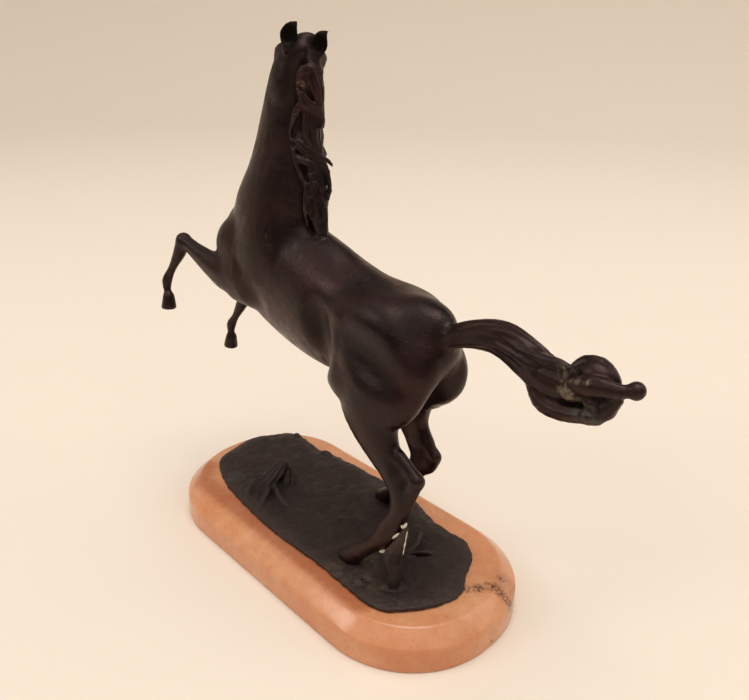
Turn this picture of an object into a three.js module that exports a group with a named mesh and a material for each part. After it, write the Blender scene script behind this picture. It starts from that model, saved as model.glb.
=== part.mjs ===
// A bronze horse rising on its hind legs, its bronze ground and its marble plinth.
// Millimetres. +X is the way the horse faces, +Y is its left side, +Z is up.
// The origin is the middle of the plinth's underside.
import * as THREE from 'three';
import { edgeTable, triTable } from 'three/addons/objects/MarchingCubes.js';

// The plinth: a slab with nearly half-round ends and one wide chamfer.
const PLINTH = { length: 203.9, width: 100, height: 18.7, corner: 47.5 };
const CHAMFER = { inward: 7.4, down: 6.7 };
const EDGE_ROUND = 0.7;
const CORNER_STEPS = 12;

// The cast ground lies on the plinth, and the hind hooves stand on the ground.
const JOINT_GAP = 0.3;
const GROUND_UNDER = PLINTH.height + JOINT_GAP;
const GROUND_TOP = 22.3;
const SOLE_HEIGHT = GROUND_TOP + JOINT_GAP;
// Above this height the prop keeps that far from the leg that it holds up; glue fills the gap.
const PROP_FREE_FROM = 28;
const GLUE_GAP = 0.7;

// How fine the forms are worked out before they are thinned, and how many triangles are kept.
const HORSE = { cell: 1.15, triangles: 7800 };
const GROUND = { cell: 1.25, triangles: 1300 };
const FAR = 20;
const CURVE_STEPS = 4;

// The horse's limbs, joint by joint.
const HIND_LEGS = {
  left: {
    side: 1, thigh: [-45, 11, 124], ham: [-43, 14.5, 112], flesh: [-42, 16.5, 101],
    gaskin: [-46.5, 17.5, 91], shank: [-53, 17.5, 82], hock: [-59, 17.7, 77],
    stifle: [-24.5, 17, 109], tendon: [-60.5, 17.5, 86], point: [-71, 17.5, 79],
    heel: [-67, 18, 69], below: [-63, 18.2, 68], cannon: [-61.6, 19, 57],
    fetlock: [-56.8, 20.6, 46.5], pastern: [-50, 22, 37.7], coronet: [-42.8, 23, 30],
  },
  right: {
    side: -1, thigh: [-40, -11, 124], ham: [-37.5, -14.5, 112], flesh: [-32, -17, 99.5],
    gaskin: [-32, -18, 87], shank: [-35, -18, 78], hock: [-39.5, -18, 70.5],
    stifle: [-16, -17, 110], tendon: [-38.5, -18, 78], point: [-49, -18, 66.5],
    heel: [-46, -18, 60], below: [-40, -18.3, 63], cannon: [-36, -19, 52.5],
    fetlock: [-30, -20.3, 43], pastern: [-23.5, -21.6, 36], coronet: [-18.8, -22.8, 30.4],
  },
};
const FORE_LEGS = {
  left: {
    shoulder: [54, 14.5, 138], arm: [66, 17, 136], elbow: [58, 16, 129], forearm: [82, 19, 140.5],
    wrist: [95, 20.5, 145.5], knee: [101, 21, 147.3], shin: [103.5, 22.5, 141],
    cannon: [109, 25, 131], fetlock: [112.5, 27, 123.5], pastern: [110.8, 28, 118],
    coronet: [109.8, 28.2, 114.8], down: [-0.1, 0.05, -1],
  },
  right: {
    shoulder: [56, -14.5, 137], arm: [66, -15.5, 130], elbow: [58, -15.5, 127], forearm: [81, -15, 122],
    wrist: [93, -13.5, 114], knee: [97, -13, 111.5], shin: [100, -12.3, 105],
    cannon: [105, -10.5, 96], fetlock: [108.5, -9.5, 90], pastern: [108.5, -9, 85],
    coronet: [108.5, -9, 82], down: [0.05, 0, -1],
  },
};
const LEFT_BUTTOCK = [-51, 9.5, 123];
const RIGHT_BUTTOCK = [-51, -10, 116.5];
const HIND_HOOF_SIZE = 4.4;
const FORE_HOOF_SIZE = 4.2;
const FORE_HOOF_HEIGHT = 6.4;

// The head is turned to the horse's right, tilted a little and nodded.
const POLL = new THREE.Vector3(23.6, -1.4, 247);
const HEAD_TURN = THREE.MathUtils.degToRad(-37);
const HEAD_TILT = THREE.MathUtils.degToRad(9);
const HEAD_NOD = THREE.MathUtils.degToRad(40);

// The line of the crest, from the poll down to the withers, where the mane grows.
const CREST = [[22, -1, 246], [20.5, -1, 236], [22.5, -1, 222], [21, 0, 205], [18, 0, 188], [13, 0, 171]];
// Each layer of the mane: locks, their half thickness, their length and how far they stand off.
const MANE_LAYERS = [
  { locks: 11, thick: 2.7, length: 28, lift: 0 },
  { locks: 10, thick: 2.3, length: 23, lift: 1.3 },
  { locks: 8, thick: 1.9, length: 17, lift: 2.4 },
];
const LOCK_STEPS = 6;
// How far to the right the mane reaches: height and distance along MANE_ACROSS, from the top down.
const MANE_EDGE = [
  [240, 8.5], [231, 6.8], [212, 6.9], [202, 7.5], [195, 3.9], [182, 4.3], [176, 5.4], [166, 5.8],
];
// The mane over the crest, seen from behind: height, x, y and half width, from the poll down.
const MANE_BACK = [
  [240, 17.6, -1.6, 2.5], [235, 16.9, -0.6, 4.6], [227, 17, -0.2, 5.4], [217, 17.7, 0.5, 6],
  [208, 18.2, 1.4, 6.2], [200, 17.2, 0.7, 6], [192, 15.6, 0.5, 5.6], [184, 13.5, 0.7, 4.9],
  [176, 11.5, 1.3, 4.6], [168, 9.7, 1.2, 3.4], [160, 8, 0, 2],
];
const MANE_DEPTH = 3.2;
const MANE_ACROSS = new THREE.Vector3(0.69, 0.72, 0);
const MANE_OUT = new THREE.Vector3(-0.72, 0.69, 0);
// Its large locks: half thickness, then height and distance from the middle, to the left, at each bend.
const BACK_LOCKS = [
  [2.2, [[236, 0.5], [234.6, 3], [231.5, 4.8], [227.6, 5.6]]],
  [3, [[235, 0], [231, -1], [227, -2.4], [223, -3.8], [220.5, -4.6]]],
  [2.2, [[220.5, 1.5], [217, 0.6], [213, 0.3], [209, 0.2], [205.5, -0.6], [203, -2.5]]],
  [2, [[219, -0.9], [215, -2.4], [211, -3], [207, -3], [203.5, -3.8]]],
  [1.5, [[206, 7.4], [205.3, 4.2], [202.8, 1.5], [201.3, -1], [199, -4.4], [197, -7.4], [195, -8.8]]],
  [1.6, [
    [203, 5], [200.6, 1.8], [199.3, -1.4], [196.8, -4.6], [193.5, -6], [189, -6.4],
    [184.7, -6.3], [181, -5.2],
  ]],
  [1.7, [
    [203, 7.4], [199.4, 6.6], [197.6, 4.6], [196.6, 1.6], [195.2, -1.6], [192.8, -3.2],
    [189, -3.4], [185, -4],
  ]],
  [1.5, [[192, -1.5], [189.5, -1.8], [186, -0.3], [182.4, 0.6], [179, 0.2], [175.6, -0.2], [172, -0.2]]],
];

// The tail's core: x, y, z, half width and half depth, from its root to the end of the hair.
const TAIL = [
  [-58, 0, 133.5, 5.5, 6], [-70, 0, 138.6, 4.6, 4.6], [-80, 0, 142.6, 4.6, 5.2], [-90, 0, 144.9, 5, 6.1],
  [-98, 0, 144.4, 5.4, 6.9], [-105, 0, 141.9, 5.8, 7.2], [-111, 0, 139, 6.2, 7.6],
  [-117, 0, 136.8, 6.6, 7.6], [-124, 0, 136.6, 6.2, 7], [-131, 0, 137.8, 5.4, 5.8],
  [-138, 0, 139, 4.4, 4.6],
];
const TAIL_STRANDS = 6;
// The forms that its end is made of.
const TAIL_LIP = {
  soft: 1.2,
  stations: [
    [-103, 3, 146.2, 1.6, 1.6], [-110, 3.2, 145, 2, 2], [-115.5, 3, 144.6, 2.1, 2], [-120, 3, 145, 2, 2],
    [-124.2, 2.4, 144.2, 1.7, 1.7], [-127, 1, 142.4, 1.2, 1.2],
  ],
};
const TAIL_LOBE = {
  soft: 0.7,
  stations: [
    [-107, 1, 135.2, 1.4, 1.4], [-111, 2, 132, 2.2, 2.4], [-115.4, 3, 129, 3.3, 3.6],
    [-120.5, 3.5, 128.2, 3.8, 3.9], [-127, 3.5, 128.4, 3.7, 3.5], [-133, 3, 129.8, 3.6, 3.3],
    [-137.6, 2.4, 131, 3.8, 3.6], [-141, 2, 135, 3.2, 3.2], [-143.8, 2, 138.8, 2.2, 2.2],
  ],
};
const TAIL_CURL = {
  soft: 0.8,
  stations: [
    [-125.5, -1, 144, 2, 2], [-129.3, -1.5, 147, 2.5, 2.6], [-134, -2, 147.6, 2.7, 2.6],
    [-138, -2, 145.6, 2.4, 2.4], [-140.6, -1.5, 143, 2.2, 2.2],
  ],
};
const TAIL_CROSSING = {
  soft: 0.6,
  stations: [
    [-126.4, 4, 139.6, 1.8, 1.8], [-131, 5, 140.6, 3, 3.5], [-136, 5, 142.2, 3.1, 3.9],
    [-141, 4, 142.5, 2.8, 3.4], [-145, 2.5, 142.6, 2.2, 2.6], [-149, 0, 143.9, 1.8, 1.9],
  ],
};
const TAIL_KNOB = { at: [-148.7, 0, 143.4], radius: 3.2 };

// The bumpy edge of the cast ground.
const GROUND_EDGE = [
  [80, 22], [86, 14], [91, -4], [87, -20], [78, -32], [55, -31], [38, -34], [3, -36], [-23, -35],
  [-45, -29], [-62, -29], [-72, -23], [-79, -10], [-85, 0], [-84, 11], [-79, 22], [-70, 33], [-58, 36],
  [-26, 35], [8, 36], [44, 33], [64, 29],
];

const BRONZE = new THREE.MeshStandardMaterial({ color: '#2b2120', roughness: 0.42, metalness: 0.85 });
const DARK_BRONZE = new THREE.MeshStandardMaterial({ color: '#2c2522', roughness: 0.6, metalness: 0.7 });
const MARBLE = new THREE.MeshStandardMaterial({ color: '#e0a27c', roughness: 0.28, metalness: 0 });

const vec = (list) => new THREE.Vector3(...list);
const up = new THREE.Vector3(0, 0, 1);

// The lower of two distances, rounded over where they are within soft of each other.
function softMin(a, b, soft) {
  const near = Math.max(soft - Math.abs(a - b), 0) / soft;
  return Math.min(a, b) - near * near * soft / 4;
}

const softMax = (a, b, soft) => -softMin(-a, -b, soft);

// Three axes from a forward direction: forward, sideways and the one across both.
function turnedAlong(forward) {
  const f = forward.clone().normalize();
  const s = new THREE.Vector3().crossVectors(up, f).normalize();
  return [f, s, new THREE.Vector3().crossVectors(f, s)];
}

// Clay holds, at each point of a grid, the distance to the surface of what is modelled so far.
class Clay {
  constructor(low, high, cell) {
    this.cell = cell;
    this.low = low;
    this.count = high.map((h, i) => Math.ceil((h - low[i]) / cell) + 1);
    this.distance = new Float32Array(this.count[0] * this.count[1] * this.count[2]).fill(FAR);
  }

  // Calls work with the place in the grid and the coordinates of each point in a box.
  each(low, high, work) {
    const from = low.map((v, i) => Math.max(Math.floor((v - this.low[i]) / this.cell), 0));
    const to = high.map((v, i) => Math.min(Math.ceil((v - this.low[i]) / this.cell), this.count[i] - 1));
    for (let k = from[2]; k <= to[2]; k++) {
      for (let j = from[1]; j <= to[1]; j++) {
        let place = (k * this.count[1] + j) * this.count[0] + from[0];
        for (let i = from[0]; i <= to[0]; i++, place++) {
          const x = this.low[0] + i * this.cell;
          work(place, x, this.low[1] + j * this.cell, this.low[2] + k * this.cell);
        }
      }
    }
  }

  // A piece of empty clay on the same grid points, just large enough for a box.
  scrap(low, high) {
    const from = low.map((v, i) => this.low[i] + Math.floor((v - this.low[i]) / this.cell) * this.cell);
    return new Clay(from, high, this.cell);
  }

  // Adds another piece of clay, or takes it away.
  take(other, soft, rule = softMin) {
    const high = other.low.map((v, i) => v + (other.count[i] - 1) * this.cell);
    const shift = other.low.map((v, i) => Math.round((v - this.low[i]) / this.cell));
    this.each(other.low, high, (place) => {
      const i = place % this.count[0] - shift[0];
      const j = Math.floor(place / this.count[0]) % this.count[1] - shift[1];
      const k = Math.floor(place / this.count[0] / this.count[1]) - shift[2];
      if (i < 0 || j < 0 || k < 0) return;
      if (i >= other.count[0] || j >= other.count[1] || k >= other.count[2]) return;
      const d = other.distance[(k * other.count[1] + j) * other.count[0] + i];
      this.distance[place] = rule(this.distance[place], d, soft);
    });
  }

  // Presses on a rounded lump: an ellipsoid with its half sizes along three axes.
  lump(centre, half, axes, soft, sign = 1) {
    const c = centre.isVector3 ? centre.toArray() : centre;
    const a = axes.map((axis) => axis.toArray());
    const reach = c.map((v, i) => Math.hypot(...a.map((axis, j) => axis[i] * half[j])) + soft + this.cell);
    this.each(c.map((v, i) => v - reach[i]), c.map((v, i) => v + reach[i]), (place, x, y, z) => {
      let near = 0;
      let slope = 0;
      for (let j = 0; j < 3; j++) {
        const q = (x - c[0]) * a[j][0] + (y - c[1]) * a[j][1] + (z - c[2]) * a[j][2];
        near += (q / half[j]) ** 2;
        slope += (q / half[j] ** 2) ** 2;
      }
      const k = Math.sqrt(near) + 1e-6;
      const d = Math.min(k * (k - 1) / (Math.sqrt(slope) + 1e-6), FAR);
      const old = this.distance[place];
      this.distance[place] = sign > 0 ? softMin(old, d, soft) : softMax(old, -d, soft);
    });
  }

  hollow(centre, half, axes, soft) {
    this.lump(centre, half, axes, soft, -1);
  }

  // One straight stretch of a limb, from section p to section q: x, y, z, half width, half depth.
  stretch(p, q, side) {
    const t = vec(q.slice(0, 3)).sub(vec(p.slice(0, 3)));
    const length = t.length();
    t.normalize();
    const s = side.clone().addScaledVector(t, -side.dot(t)).normalize();
    const n = new THREE.Vector3().crossVectors(t, s);
    const margin = Math.max(p[3], p[4], q[3], q[4]) + this.cell * 3;
    const low = [0, 1, 2].map((i) => Math.min(p[i], q[i]) - margin);
    const high = [0, 1, 2].map((i) => Math.max(p[i], q[i]) + margin);
    this.each(low, high, (place, x, y, z) => {
      const dx = x - p[0];
      const dy = y - p[1];
      const dz = z - p[2];
      const along = dx * t.x + dy * t.y + dz * t.z;
      const h = Math.min(Math.max(along / length, 0), 1);
      const wide = p[3] + (q[3] - p[3]) * h;
      const deep = p[4] + (q[4] - p[4]) * h;
      const end = Math.min(wide, deep);
      const a = dx * s.x + dy * s.y + dz * s.z;
      const b = dx * n.x + dy * n.y + dz * n.z;
      const c = along - h * length;
      const k = Math.hypot(a / wide, b / deep, c / end) + 1e-6;
      const slope = Math.hypot(a / wide ** 2, b / deep ** 2, c / end ** 2) + 1e-6;
      this.distance[place] = Math.min(this.distance[place], k * (k - 1) / slope);
    });
  }

  // A limb: a smooth run through its stations, blended with the rest over the soft distance.
  limb(stations, side, soft) {
    const run = smoothRun(stations);
    const reach = Math.max(...run.map((s) => Math.max(s[3], s[4]))) + soft + this.cell;
    const low = [0, 1, 2].map((i) => Math.min(...run.map((s) => s[i])) - reach);
    const high = [0, 1, 2].map((i) => Math.max(...run.map((s) => s[i])) + reach);
    const own = this.scrap(low, high);
    for (let i = 1; i < run.length; i++) own.stretch(run[i - 1], run[i], side);
    this.take(own, soft);
  }
}

// Stations on a smooth curve through the given ones, with a few steps between each two.
function smoothRun(stations) {
  const run = [];
  const last = stations.length - 1;
  const mirror = (a, b) => a.map((v, i) => 2 * v - b[i]);
  const all = [mirror(stations[0], stations[1]), ...stations, mirror(stations[last], stations[last - 1])];
  for (let i = 1; i <= last; i++) {
    const [a, b, c, d] = all.slice(i - 1, i + 3);
    for (let step = 0; step < CURVE_STEPS; step++) {
      const t = step / CURVE_STEPS;
      run.push(b.map((v, j) => 0.5 * (2 * v + (c[j] - a[j]) * t
        + (2 * a[j] - 5 * v + 4 * c[j] - d[j]) * t * t
        + (3 * v - a[j] - 3 * c[j] + d[j]) * t ** 3)));
    }
  }
  run.push(stations[last]);
  return run;
}

const sideways = new THREE.Vector3(0, 1, 0);
const level = [new THREE.Vector3(1, 0, 0), sideways, up];
const leaning = (x, y, z) => turnedAlong(new THREE.Vector3(x, y, z));
const along = (leg, names, sizes) => names.map((name, i) => [...leg[name], ...sizes[i]]);

// Trunk and neck, and the muscles that show on both sides of them.
function body(clay) {
  clay.limb([
    [70, 0, 150, 9, 13], [60, 0, 147, 15, 24], [42, 0, 142.2, 19, 29.2], [20, 0, 135.6, 20, 29.8],
    [-2, 0, 131, 20.8, 28], [-22, 0, 129, 19.5, 25.2], [-38, 0, 130.5, 18, 20.5],
    [-52, 0, 131.5, 15.5, 18], [-61, 0, 131, 11, 13.5],
  ], sideways, 3);
  const withers = [10, 0, 155];
  clay.lump(withers, [18, 5.5, 8], leaning(1, 0, 0.25), 8);
  const croup = [-50, 0, 138.5];
  clay.lump(croup, [20, 10, 10], leaning(1, 0, -0.25), 6);
  clay.limb([
    [50, 0, 152, 17, 27], [43, 0.7, 168, 17.2, 26.5], [38.5, 0.5, 185, 14, 22], [37, 0, 203, 10.5, 17],
    [35, -1, 220, 9.6, 13.5], [31.5, -1, 232, 8.8, 11.2], [28, -1, 240, 7.4, 8.2],
  ], sideways, 7);
  clay.lump(LEFT_BUTTOCK, [13.5, 9, 19], leaning(0.2, 0, 1), 8);
  clay.lump(RIGHT_BUTTOCK, [17.6, 9.5, 19.4], leaning(0.4, 0, 1), 5);
  for (const s of [1, -1]) {
    const haunch = [-34, 11.5 * s, 135];
    clay.lump(haunch, [19, 8.5, 12.5], leaning(1, -0.1 * s, -0.1), 9);
    const hipPoint = [-23.5, 17.4 * s, 137.5];
    clay.lump(hipPoint, [4.2, 2.4, 2.4], leaning(1, 0, 0.9), 3);
    const shoulderBlade = [44, 12 * s, 148];
    clay.lump(shoulderBlade, [14, 8, 26], leaning(1, 0, 0.5), 6);
    const breast = [64, 12 * s, 149];
    clay.lump(breast, [13, 8.5, 15], leaning(1, 0, -0.3), 5);
    const upperArm = [52, 14 * s, 134];
    clay.lump(upperArm, [12, 6.5, 10], leaning(1, 0, -0.5), 5);
  }
  const chest = [70, 0, 160];
  clay.lump(chest, [10, 9, 13], leaning(0.4, 0, 1), 6);
  const sheath = [-4, 0, 104.5];
  clay.lump(sheath, [9, 3.5, 4], leaning(1, 0, 0.1), 3);
}

// The hollows of the flanks, behind the elbows and under the hips, and the gap between the thighs.
function hollows(clay) {
  for (const s of [1, -1]) {
    const flank = [-10, 24.5 * s, 131];
    clay.hollow(flank, [15, 7.5, 8], leaning(0.3, 0, 1), 5);
    const behindElbow = [38, 22.5 * s, 124];
    clay.hollow(behindElbow, [10, 3, 5], leaning(0.2, 0, 1), 6);
    const underHip = [-47, 26 * s, 127];
    clay.hollow(underHip, [20, 5, 6], leaning(1, 0, 0.33), 9);
  }
  const betweenThighs = [-46, 0, 96];
  clay.hollow(betweenThighs, [18, 7.5, 14], leaning(1, 0, 0.2), 5);
}

// A hoof: a cone that widens from the coronet and is cut flat at its sole.
function hoof(clay, coronet, down, sole, soleNormal, toe, size) {
  const axis = down.clone().normalize();
  const front = toe.clone().addScaledVector(axis, -toe.dot(axis)).normalize();
  const side = new THREE.Vector3().crossVectors(axis, front);
  const length = Math.abs(sole.clone().sub(coronet).dot(soleNormal) / axis.dot(soleNormal));
  const topSize = [size * 0.76, size * 0.8];
  const soleSize = [size * 1.06, size * 1.32];
  const start = coronet.clone().addScaledVector(axis, -0.6);
  const end = coronet.clone().addScaledVector(axis, length + 3).addScaledVector(front, 1.2);
  const reach = size * 1.6 + 2;
  const ends = [start.toArray(), end.toArray()];
  const own = clay.scrap(
    [0, 1, 2].map((i) => Math.min(ends[0][i], ends[1][i]) - reach),
    [0, 1, 2].map((i) => Math.max(ends[0][i], ends[1][i]) + reach),
  );
  own.stretch([...ends[0], ...topSize], [...ends[1], ...soleSize], side);
  own.each(own.low, [Infinity, Infinity, Infinity], (place, x, y, z) => {
    const below = (x - sole.x) * soleNormal.x + (y - sole.y) * soleNormal.y + (z - sole.z) * soleNormal.z;
    own.distance[place] = Math.max(own.distance[place], below);
  });
  clay.take(own, 0.8);
}

function hindLeg(clay, leg) {
  clay.limb(along(leg, ['thigh', 'ham', 'flesh', 'gaskin', 'shank', 'hock'],
    [[11, 25], [10.5, 24], [9, 17.5], [6.8, 12], [5, 8.6], [4.4, 6.8]]), sideways, 5);
  clay.lump(leg.stifle, [7, 6, 9], leaning(0.2, 0, 1), 5);
  const foldTop = [-26, 16 * leg.side, 138, 2, 2.4];
  const foldMiddle = [leg.stifle[0] + 4, 16.5 * leg.side, 125, 2.4, 3];
  clay.limb([foldTop, foldMiddle, [...leg.stifle, 3, 4]], sideways, 4);
  clay.limb(along(leg, ['tendon', 'point'], [[2.8, 3.2], [2.9, 3.1]]), sideways, 3);
  clay.limb(along(leg, ['point', 'heel', 'cannon'], [[2.9, 3.2], [3, 3.4], [2.6, 3]]), sideways, 2.5);
  clay.limb(along(leg, ['hock', 'below', 'cannon', 'fetlock', 'pastern', 'coronet'],
    [[4.8, 6.6], [4.4, 5.6], [3.9, 4.7], [4.3, 5.3], [3.3, 3.7], [3.3, 3.5]]), sideways, 2.5);
  const coronet = vec(leg.coronet);
  const down = new THREE.Vector3(0.62, 0.02 * leg.side, -0.78);
  const toe = new THREE.Vector3(1, 0.05 * leg.side, 0);
  hoof(clay, coronet, down, coronet.clone().setZ(SOLE_HEIGHT), up.clone().negate(), toe, HIND_HOOF_SIZE);
}

function foreLeg(clay, leg) {
  clay.limb(along(leg, ['shoulder', 'arm', 'forearm', 'wrist', 'knee'],
    [[8, 12], [6.8, 9], [4.8, 6.2], [3.5, 4.1], [3.9, 4.4]]), sideways, 4);
  clay.lump(leg.elbow, [5, 4, 4.5], level, 3);
  clay.limb(along(leg, ['knee', 'shin', 'cannon', 'fetlock', 'pastern', 'coronet'],
    [[4, 4.3], [3.3, 3.6], [2.1, 2.3], [2.7, 3.1], [1.8, 2], [2.3, 2.5]]), sideways, 1.5);
  const coronet = vec(leg.coronet);
  const down = vec(leg.down).normalize();
  const sole = coronet.clone().addScaledVector(down, FORE_HOOF_HEIGHT);
  hoof(clay, coronet, down, sole, down, new THREE.Vector3(1, 0.1, 0.1), FORE_HOOF_SIZE);
}

// The head's own axes: towards the muzzle, out of the forehead and to its left.
function headAxes() {
  const ahead = new THREE.Vector3(Math.cos(HEAD_TURN), Math.sin(HEAD_TURN), 0);
  const left = new THREE.Vector3(-Math.sin(HEAD_TURN), Math.cos(HEAD_TURN), 0);
  const across = left.clone().multiplyScalar(Math.cos(HEAD_TILT)).addScaledVector(up, Math.sin(HEAD_TILT));
  const down = left.clone().multiplyScalar(Math.sin(HEAD_TILT)).addScaledVector(up, -Math.cos(HEAD_TILT));
  const nose = ahead.clone().multiplyScalar(Math.cos(HEAD_NOD)).addScaledVector(down, Math.sin(HEAD_NOD));
  const brow = ahead.clone().multiplyScalar(Math.sin(HEAD_NOD)).addScaledVector(down, -Math.cos(HEAD_NOD));
  return { across, nose, brow };
}

function head(clay) {
  const { across, nose, brow } = headAxes();
  const axes = [nose, across, brow];
  const shifted = (n, b) => POLL.clone().addScaledVector(nose, n).addScaledVector(brow, b);
  const at = (n, b, a) => shifted(n, b).addScaledVector(across, a);
  const line = (points, soft) => {
    clay.limb(points.map(([n, b, a, ...half]) => [...at(n, b, a).toArray(), ...half]), across, soft);
  };
  // Along the nose, below the face, to the side, half width and half depth, from the poll to the lips.
  line([
    [2, -5, 0, 5, 5.2], [9, -7, 0, 7.8, 8.2], [17, -9, 0, 8.8, 10.4], [26, -8.7, 0, 7.6, 9.6],
    [36, -7.8, 0, 5.8, 7.4], [46, -7.2, 0, 5, 6.4], [54, -7.4, 0, 5.2, 6], [58, -7.8, 0, 4.4, 5],
  ], 4);
  // The flat of the forehead, which narrows into the bridge of the nose.
  line([
    [4, -3.6, 0, 6.8, 3], [12, -2.6, 0, 8.6, 3], [24, -3.2, 0, 5.8, 2.8], [38, -4, 0, 3.6, 2.6],
    [50, -4.6, 0, 3, 2.4],
  ], 3);
  for (const s of [1, -1]) {
    const jowl = at(15.5, -12.5, 5.8 * s + 0.8);
    clay.lump(jowl, [9.5, 5, 8.5], axes, 2);
    const cheekBone = [[21, -7.4, 9 * s, 1.4, 1.3], [30, -8, 6.9 * s, 1, 1], [38, -8.2, 5.6 * s, 0.6, 0.6]];
    line(cheekBone, 1.6);
    const browRidge = [
      [4.5, -2.4, 8 * s, 1.8, 1.8], [8.5, -1.4, 9.4 * s, 2.2, 2.1], [14, -2.6, 9 * s, 1.7, 1.5],
      [19, -5, 7.9 * s, 0.7, 0.7],
    ];
    line(browRidge, 1.4);
    const eye = at(13.2, -4.6, 8.9 * s);
    clay.lump(eye, [2.5, 1.9, 2], axes, 0.3);
    const underCheek = at(33, -11.4, 6.8 * s);
    clay.hollow(underCheek, [9, 1.6, 2.4], axes, 3);
    const nostril = at(53.8, -6.2, 5.4 * s);
    clay.hollow(nostril, [2, 1.5, 1.4], axes, 0.6);
  }
  const betweenEars = POLL.clone().addScaledVector(MANE_ACROSS, -1.6);
  clay.lump(betweenEars, [3.2, 4.4, 2.6], turnedAlong(MANE_OUT.clone().negate().setZ(0.1)), 2.5);
  const earRoot = (off, out, height) => (
    POLL.clone().addScaledVector(MANE_ACROSS, off).addScaledVector(MANE_OUT, out).addScaledVector(up, height)
  );
  ear(clay, earRoot(5.6, 5.4, -3.2));
  ear(clay, earRoot(-7.2, 5, -6.5));
  const upperLip = at(58.2, -8.6, 0);
  clay.lump(upperLip, [3.4, 4.4, 3.4], axes, 1.5);
  const chin = at(54.5, -13.4, 0);
  clay.lump(chin, [4.6, 3.7, 2.5], axes, 1.6);
  const mouth = at(57.5, -11.4, 0);
  clay.hollow(mouth, [6.5, 6, 0.9], axes, 0.7);
}

// An ear laid back and to the left: a pointed leaf that is hollow behind and leans to the right.
// The leaf: height above the root, distance to the left, half width and half thickness.
function ear(clay, root) {
  const leaf = [
    [-1.8, 1.6, 1.4, 2], [1.6, 0.5, 2.9, 2], [4.4, 0, 3.8, 1.6], [6.8, -0.9, 3.1, 1.2], [8.8, -2.4, 1.7, 0.8],
    [10, -3.7, 0.6, 0.5],
  ];
  const shifted = (off, height) => root.clone().addScaledVector(MANE_ACROSS, off).addScaledVector(up, height);
  const sections = leaf.map(([height, off, ...half]) => [...shifted(off, height).toArray(), ...half]);
  clay.limb(sections, MANE_ACROSS, 1);
  const bowl = shifted(-0.3, 4.6).addScaledVector(MANE_OUT, 1.5);
  clay.hollow(bowl, [2.8, 1.5, 3.8], [MANE_ACROSS, MANE_OUT, up], 0.4);
}

// The mane falls to the right of the crest in layers of waving locks, with the largest locks over the crest.
function mane(clay) {
  MANE_LAYERS.forEach(({ locks, thick, length, lift }, layer) => {
    for (let i = 0; i < locks; i++) {
      const t = 0.13 + 0.8 * (i + 0.5 * (layer % 2)) / locks;
      const root = crestAt(t);
      const reach = length * (1 + 0.27 * Math.sin(i * 2.1 + layer * 1.7));
      const stations = [];
      for (let step = 0; step <= LOCK_STEPS; step++) {
        const f = step / LOCK_STEPS;
        const out = 1.5 + (5 + 2 * t) * Math.min(1, f * 2.2) + lift + 1.2 * Math.sin(f * Math.PI);
        const wave = Math.sin(f * 5.6 + i * 1.3 + layer * 2) * 2.4 * Math.sqrt(f);
        const ahead = (7 - 3 * t) * f + wave - 0.5;
        const place = root.clone().add(new THREE.Vector3(ahead, -out, 1.5 - reach * f));
        const half = thick * (1 - 0.72 * f ** 2);
        const beyondEdge = atHeight(MANE_EDGE, place.z, 1) + half - place.dot(MANE_ACROSS);
        place.addScaledVector(MANE_ACROSS, Math.max(0, beyondEdge));
        stations.push([...place.toArray(), half, half * 1.1]);
      }
      clay.limb(stations, new THREE.Vector3(1, 0, 0.3), 0.5);
    }
  });
  clay.limb(MANE_BACK.map(([height, x, y, wide]) => [x, y, height, wide, MANE_DEPTH]), MANE_ACROSS, 1.5);
  for (const [height, off] of [[236.5, 3.4], [213, 3.8], [193.5, 4.2]]) {
    clay.hollow(backOfMane(height, off), [1.8, 1.6, 5], [MANE_ACROSS, MANE_OUT, up], 0.8);
  }
  for (const [thick, places] of BACK_LOCKS) {
    const stations = places.map(([height, off], i) => {
      const swell = Math.sin(Math.PI * Math.min(1, 0.15 + 0.9 * i / (places.length - 1)));
      const half = thick * (0.5 + 0.5 * swell);
      return [...backOfMane(height, off).toArray(), half * 1.15, half];
    });
    clay.limb(stations, MANE_ACROSS, 0.5);
  }
}

// A value from a table whose rows start with a height, from the top down.
function atHeight(table, height, column) {
  const next = table.findIndex((row) => row[0] <= height);
  if (next <= 0) return (next === 0 ? table[0] : table[table.length - 1])[column];
  const [above, below] = [table[next - 1], table[next]];
  return below[column] + (above[column] - below[column]) * (height - below[0]) / (above[0] - below[0]);
}

// A point on the mane over the crest, at a height and a distance to the left of its middle.
function backOfMane(height, off) {
  const edge = atHeight(MANE_BACK, height, 3) + 1.5;
  const out = MANE_DEPTH * Math.sqrt(Math.max(0, 1 - (off / edge) ** 2));
  const middle = new THREE.Vector3(atHeight(MANE_BACK, height, 1), atHeight(MANE_BACK, height, 2), height);
  return middle.addScaledVector(MANE_ACROSS, off).addScaledVector(MANE_OUT, out);
}

function crestAt(t) {
  const u = t * (CREST.length - 1);
  const i = Math.min(Math.floor(u), CREST.length - 2);
  return vec(CREST[i]).lerp(vec(CREST[i + 1]), u - i);
}

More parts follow.
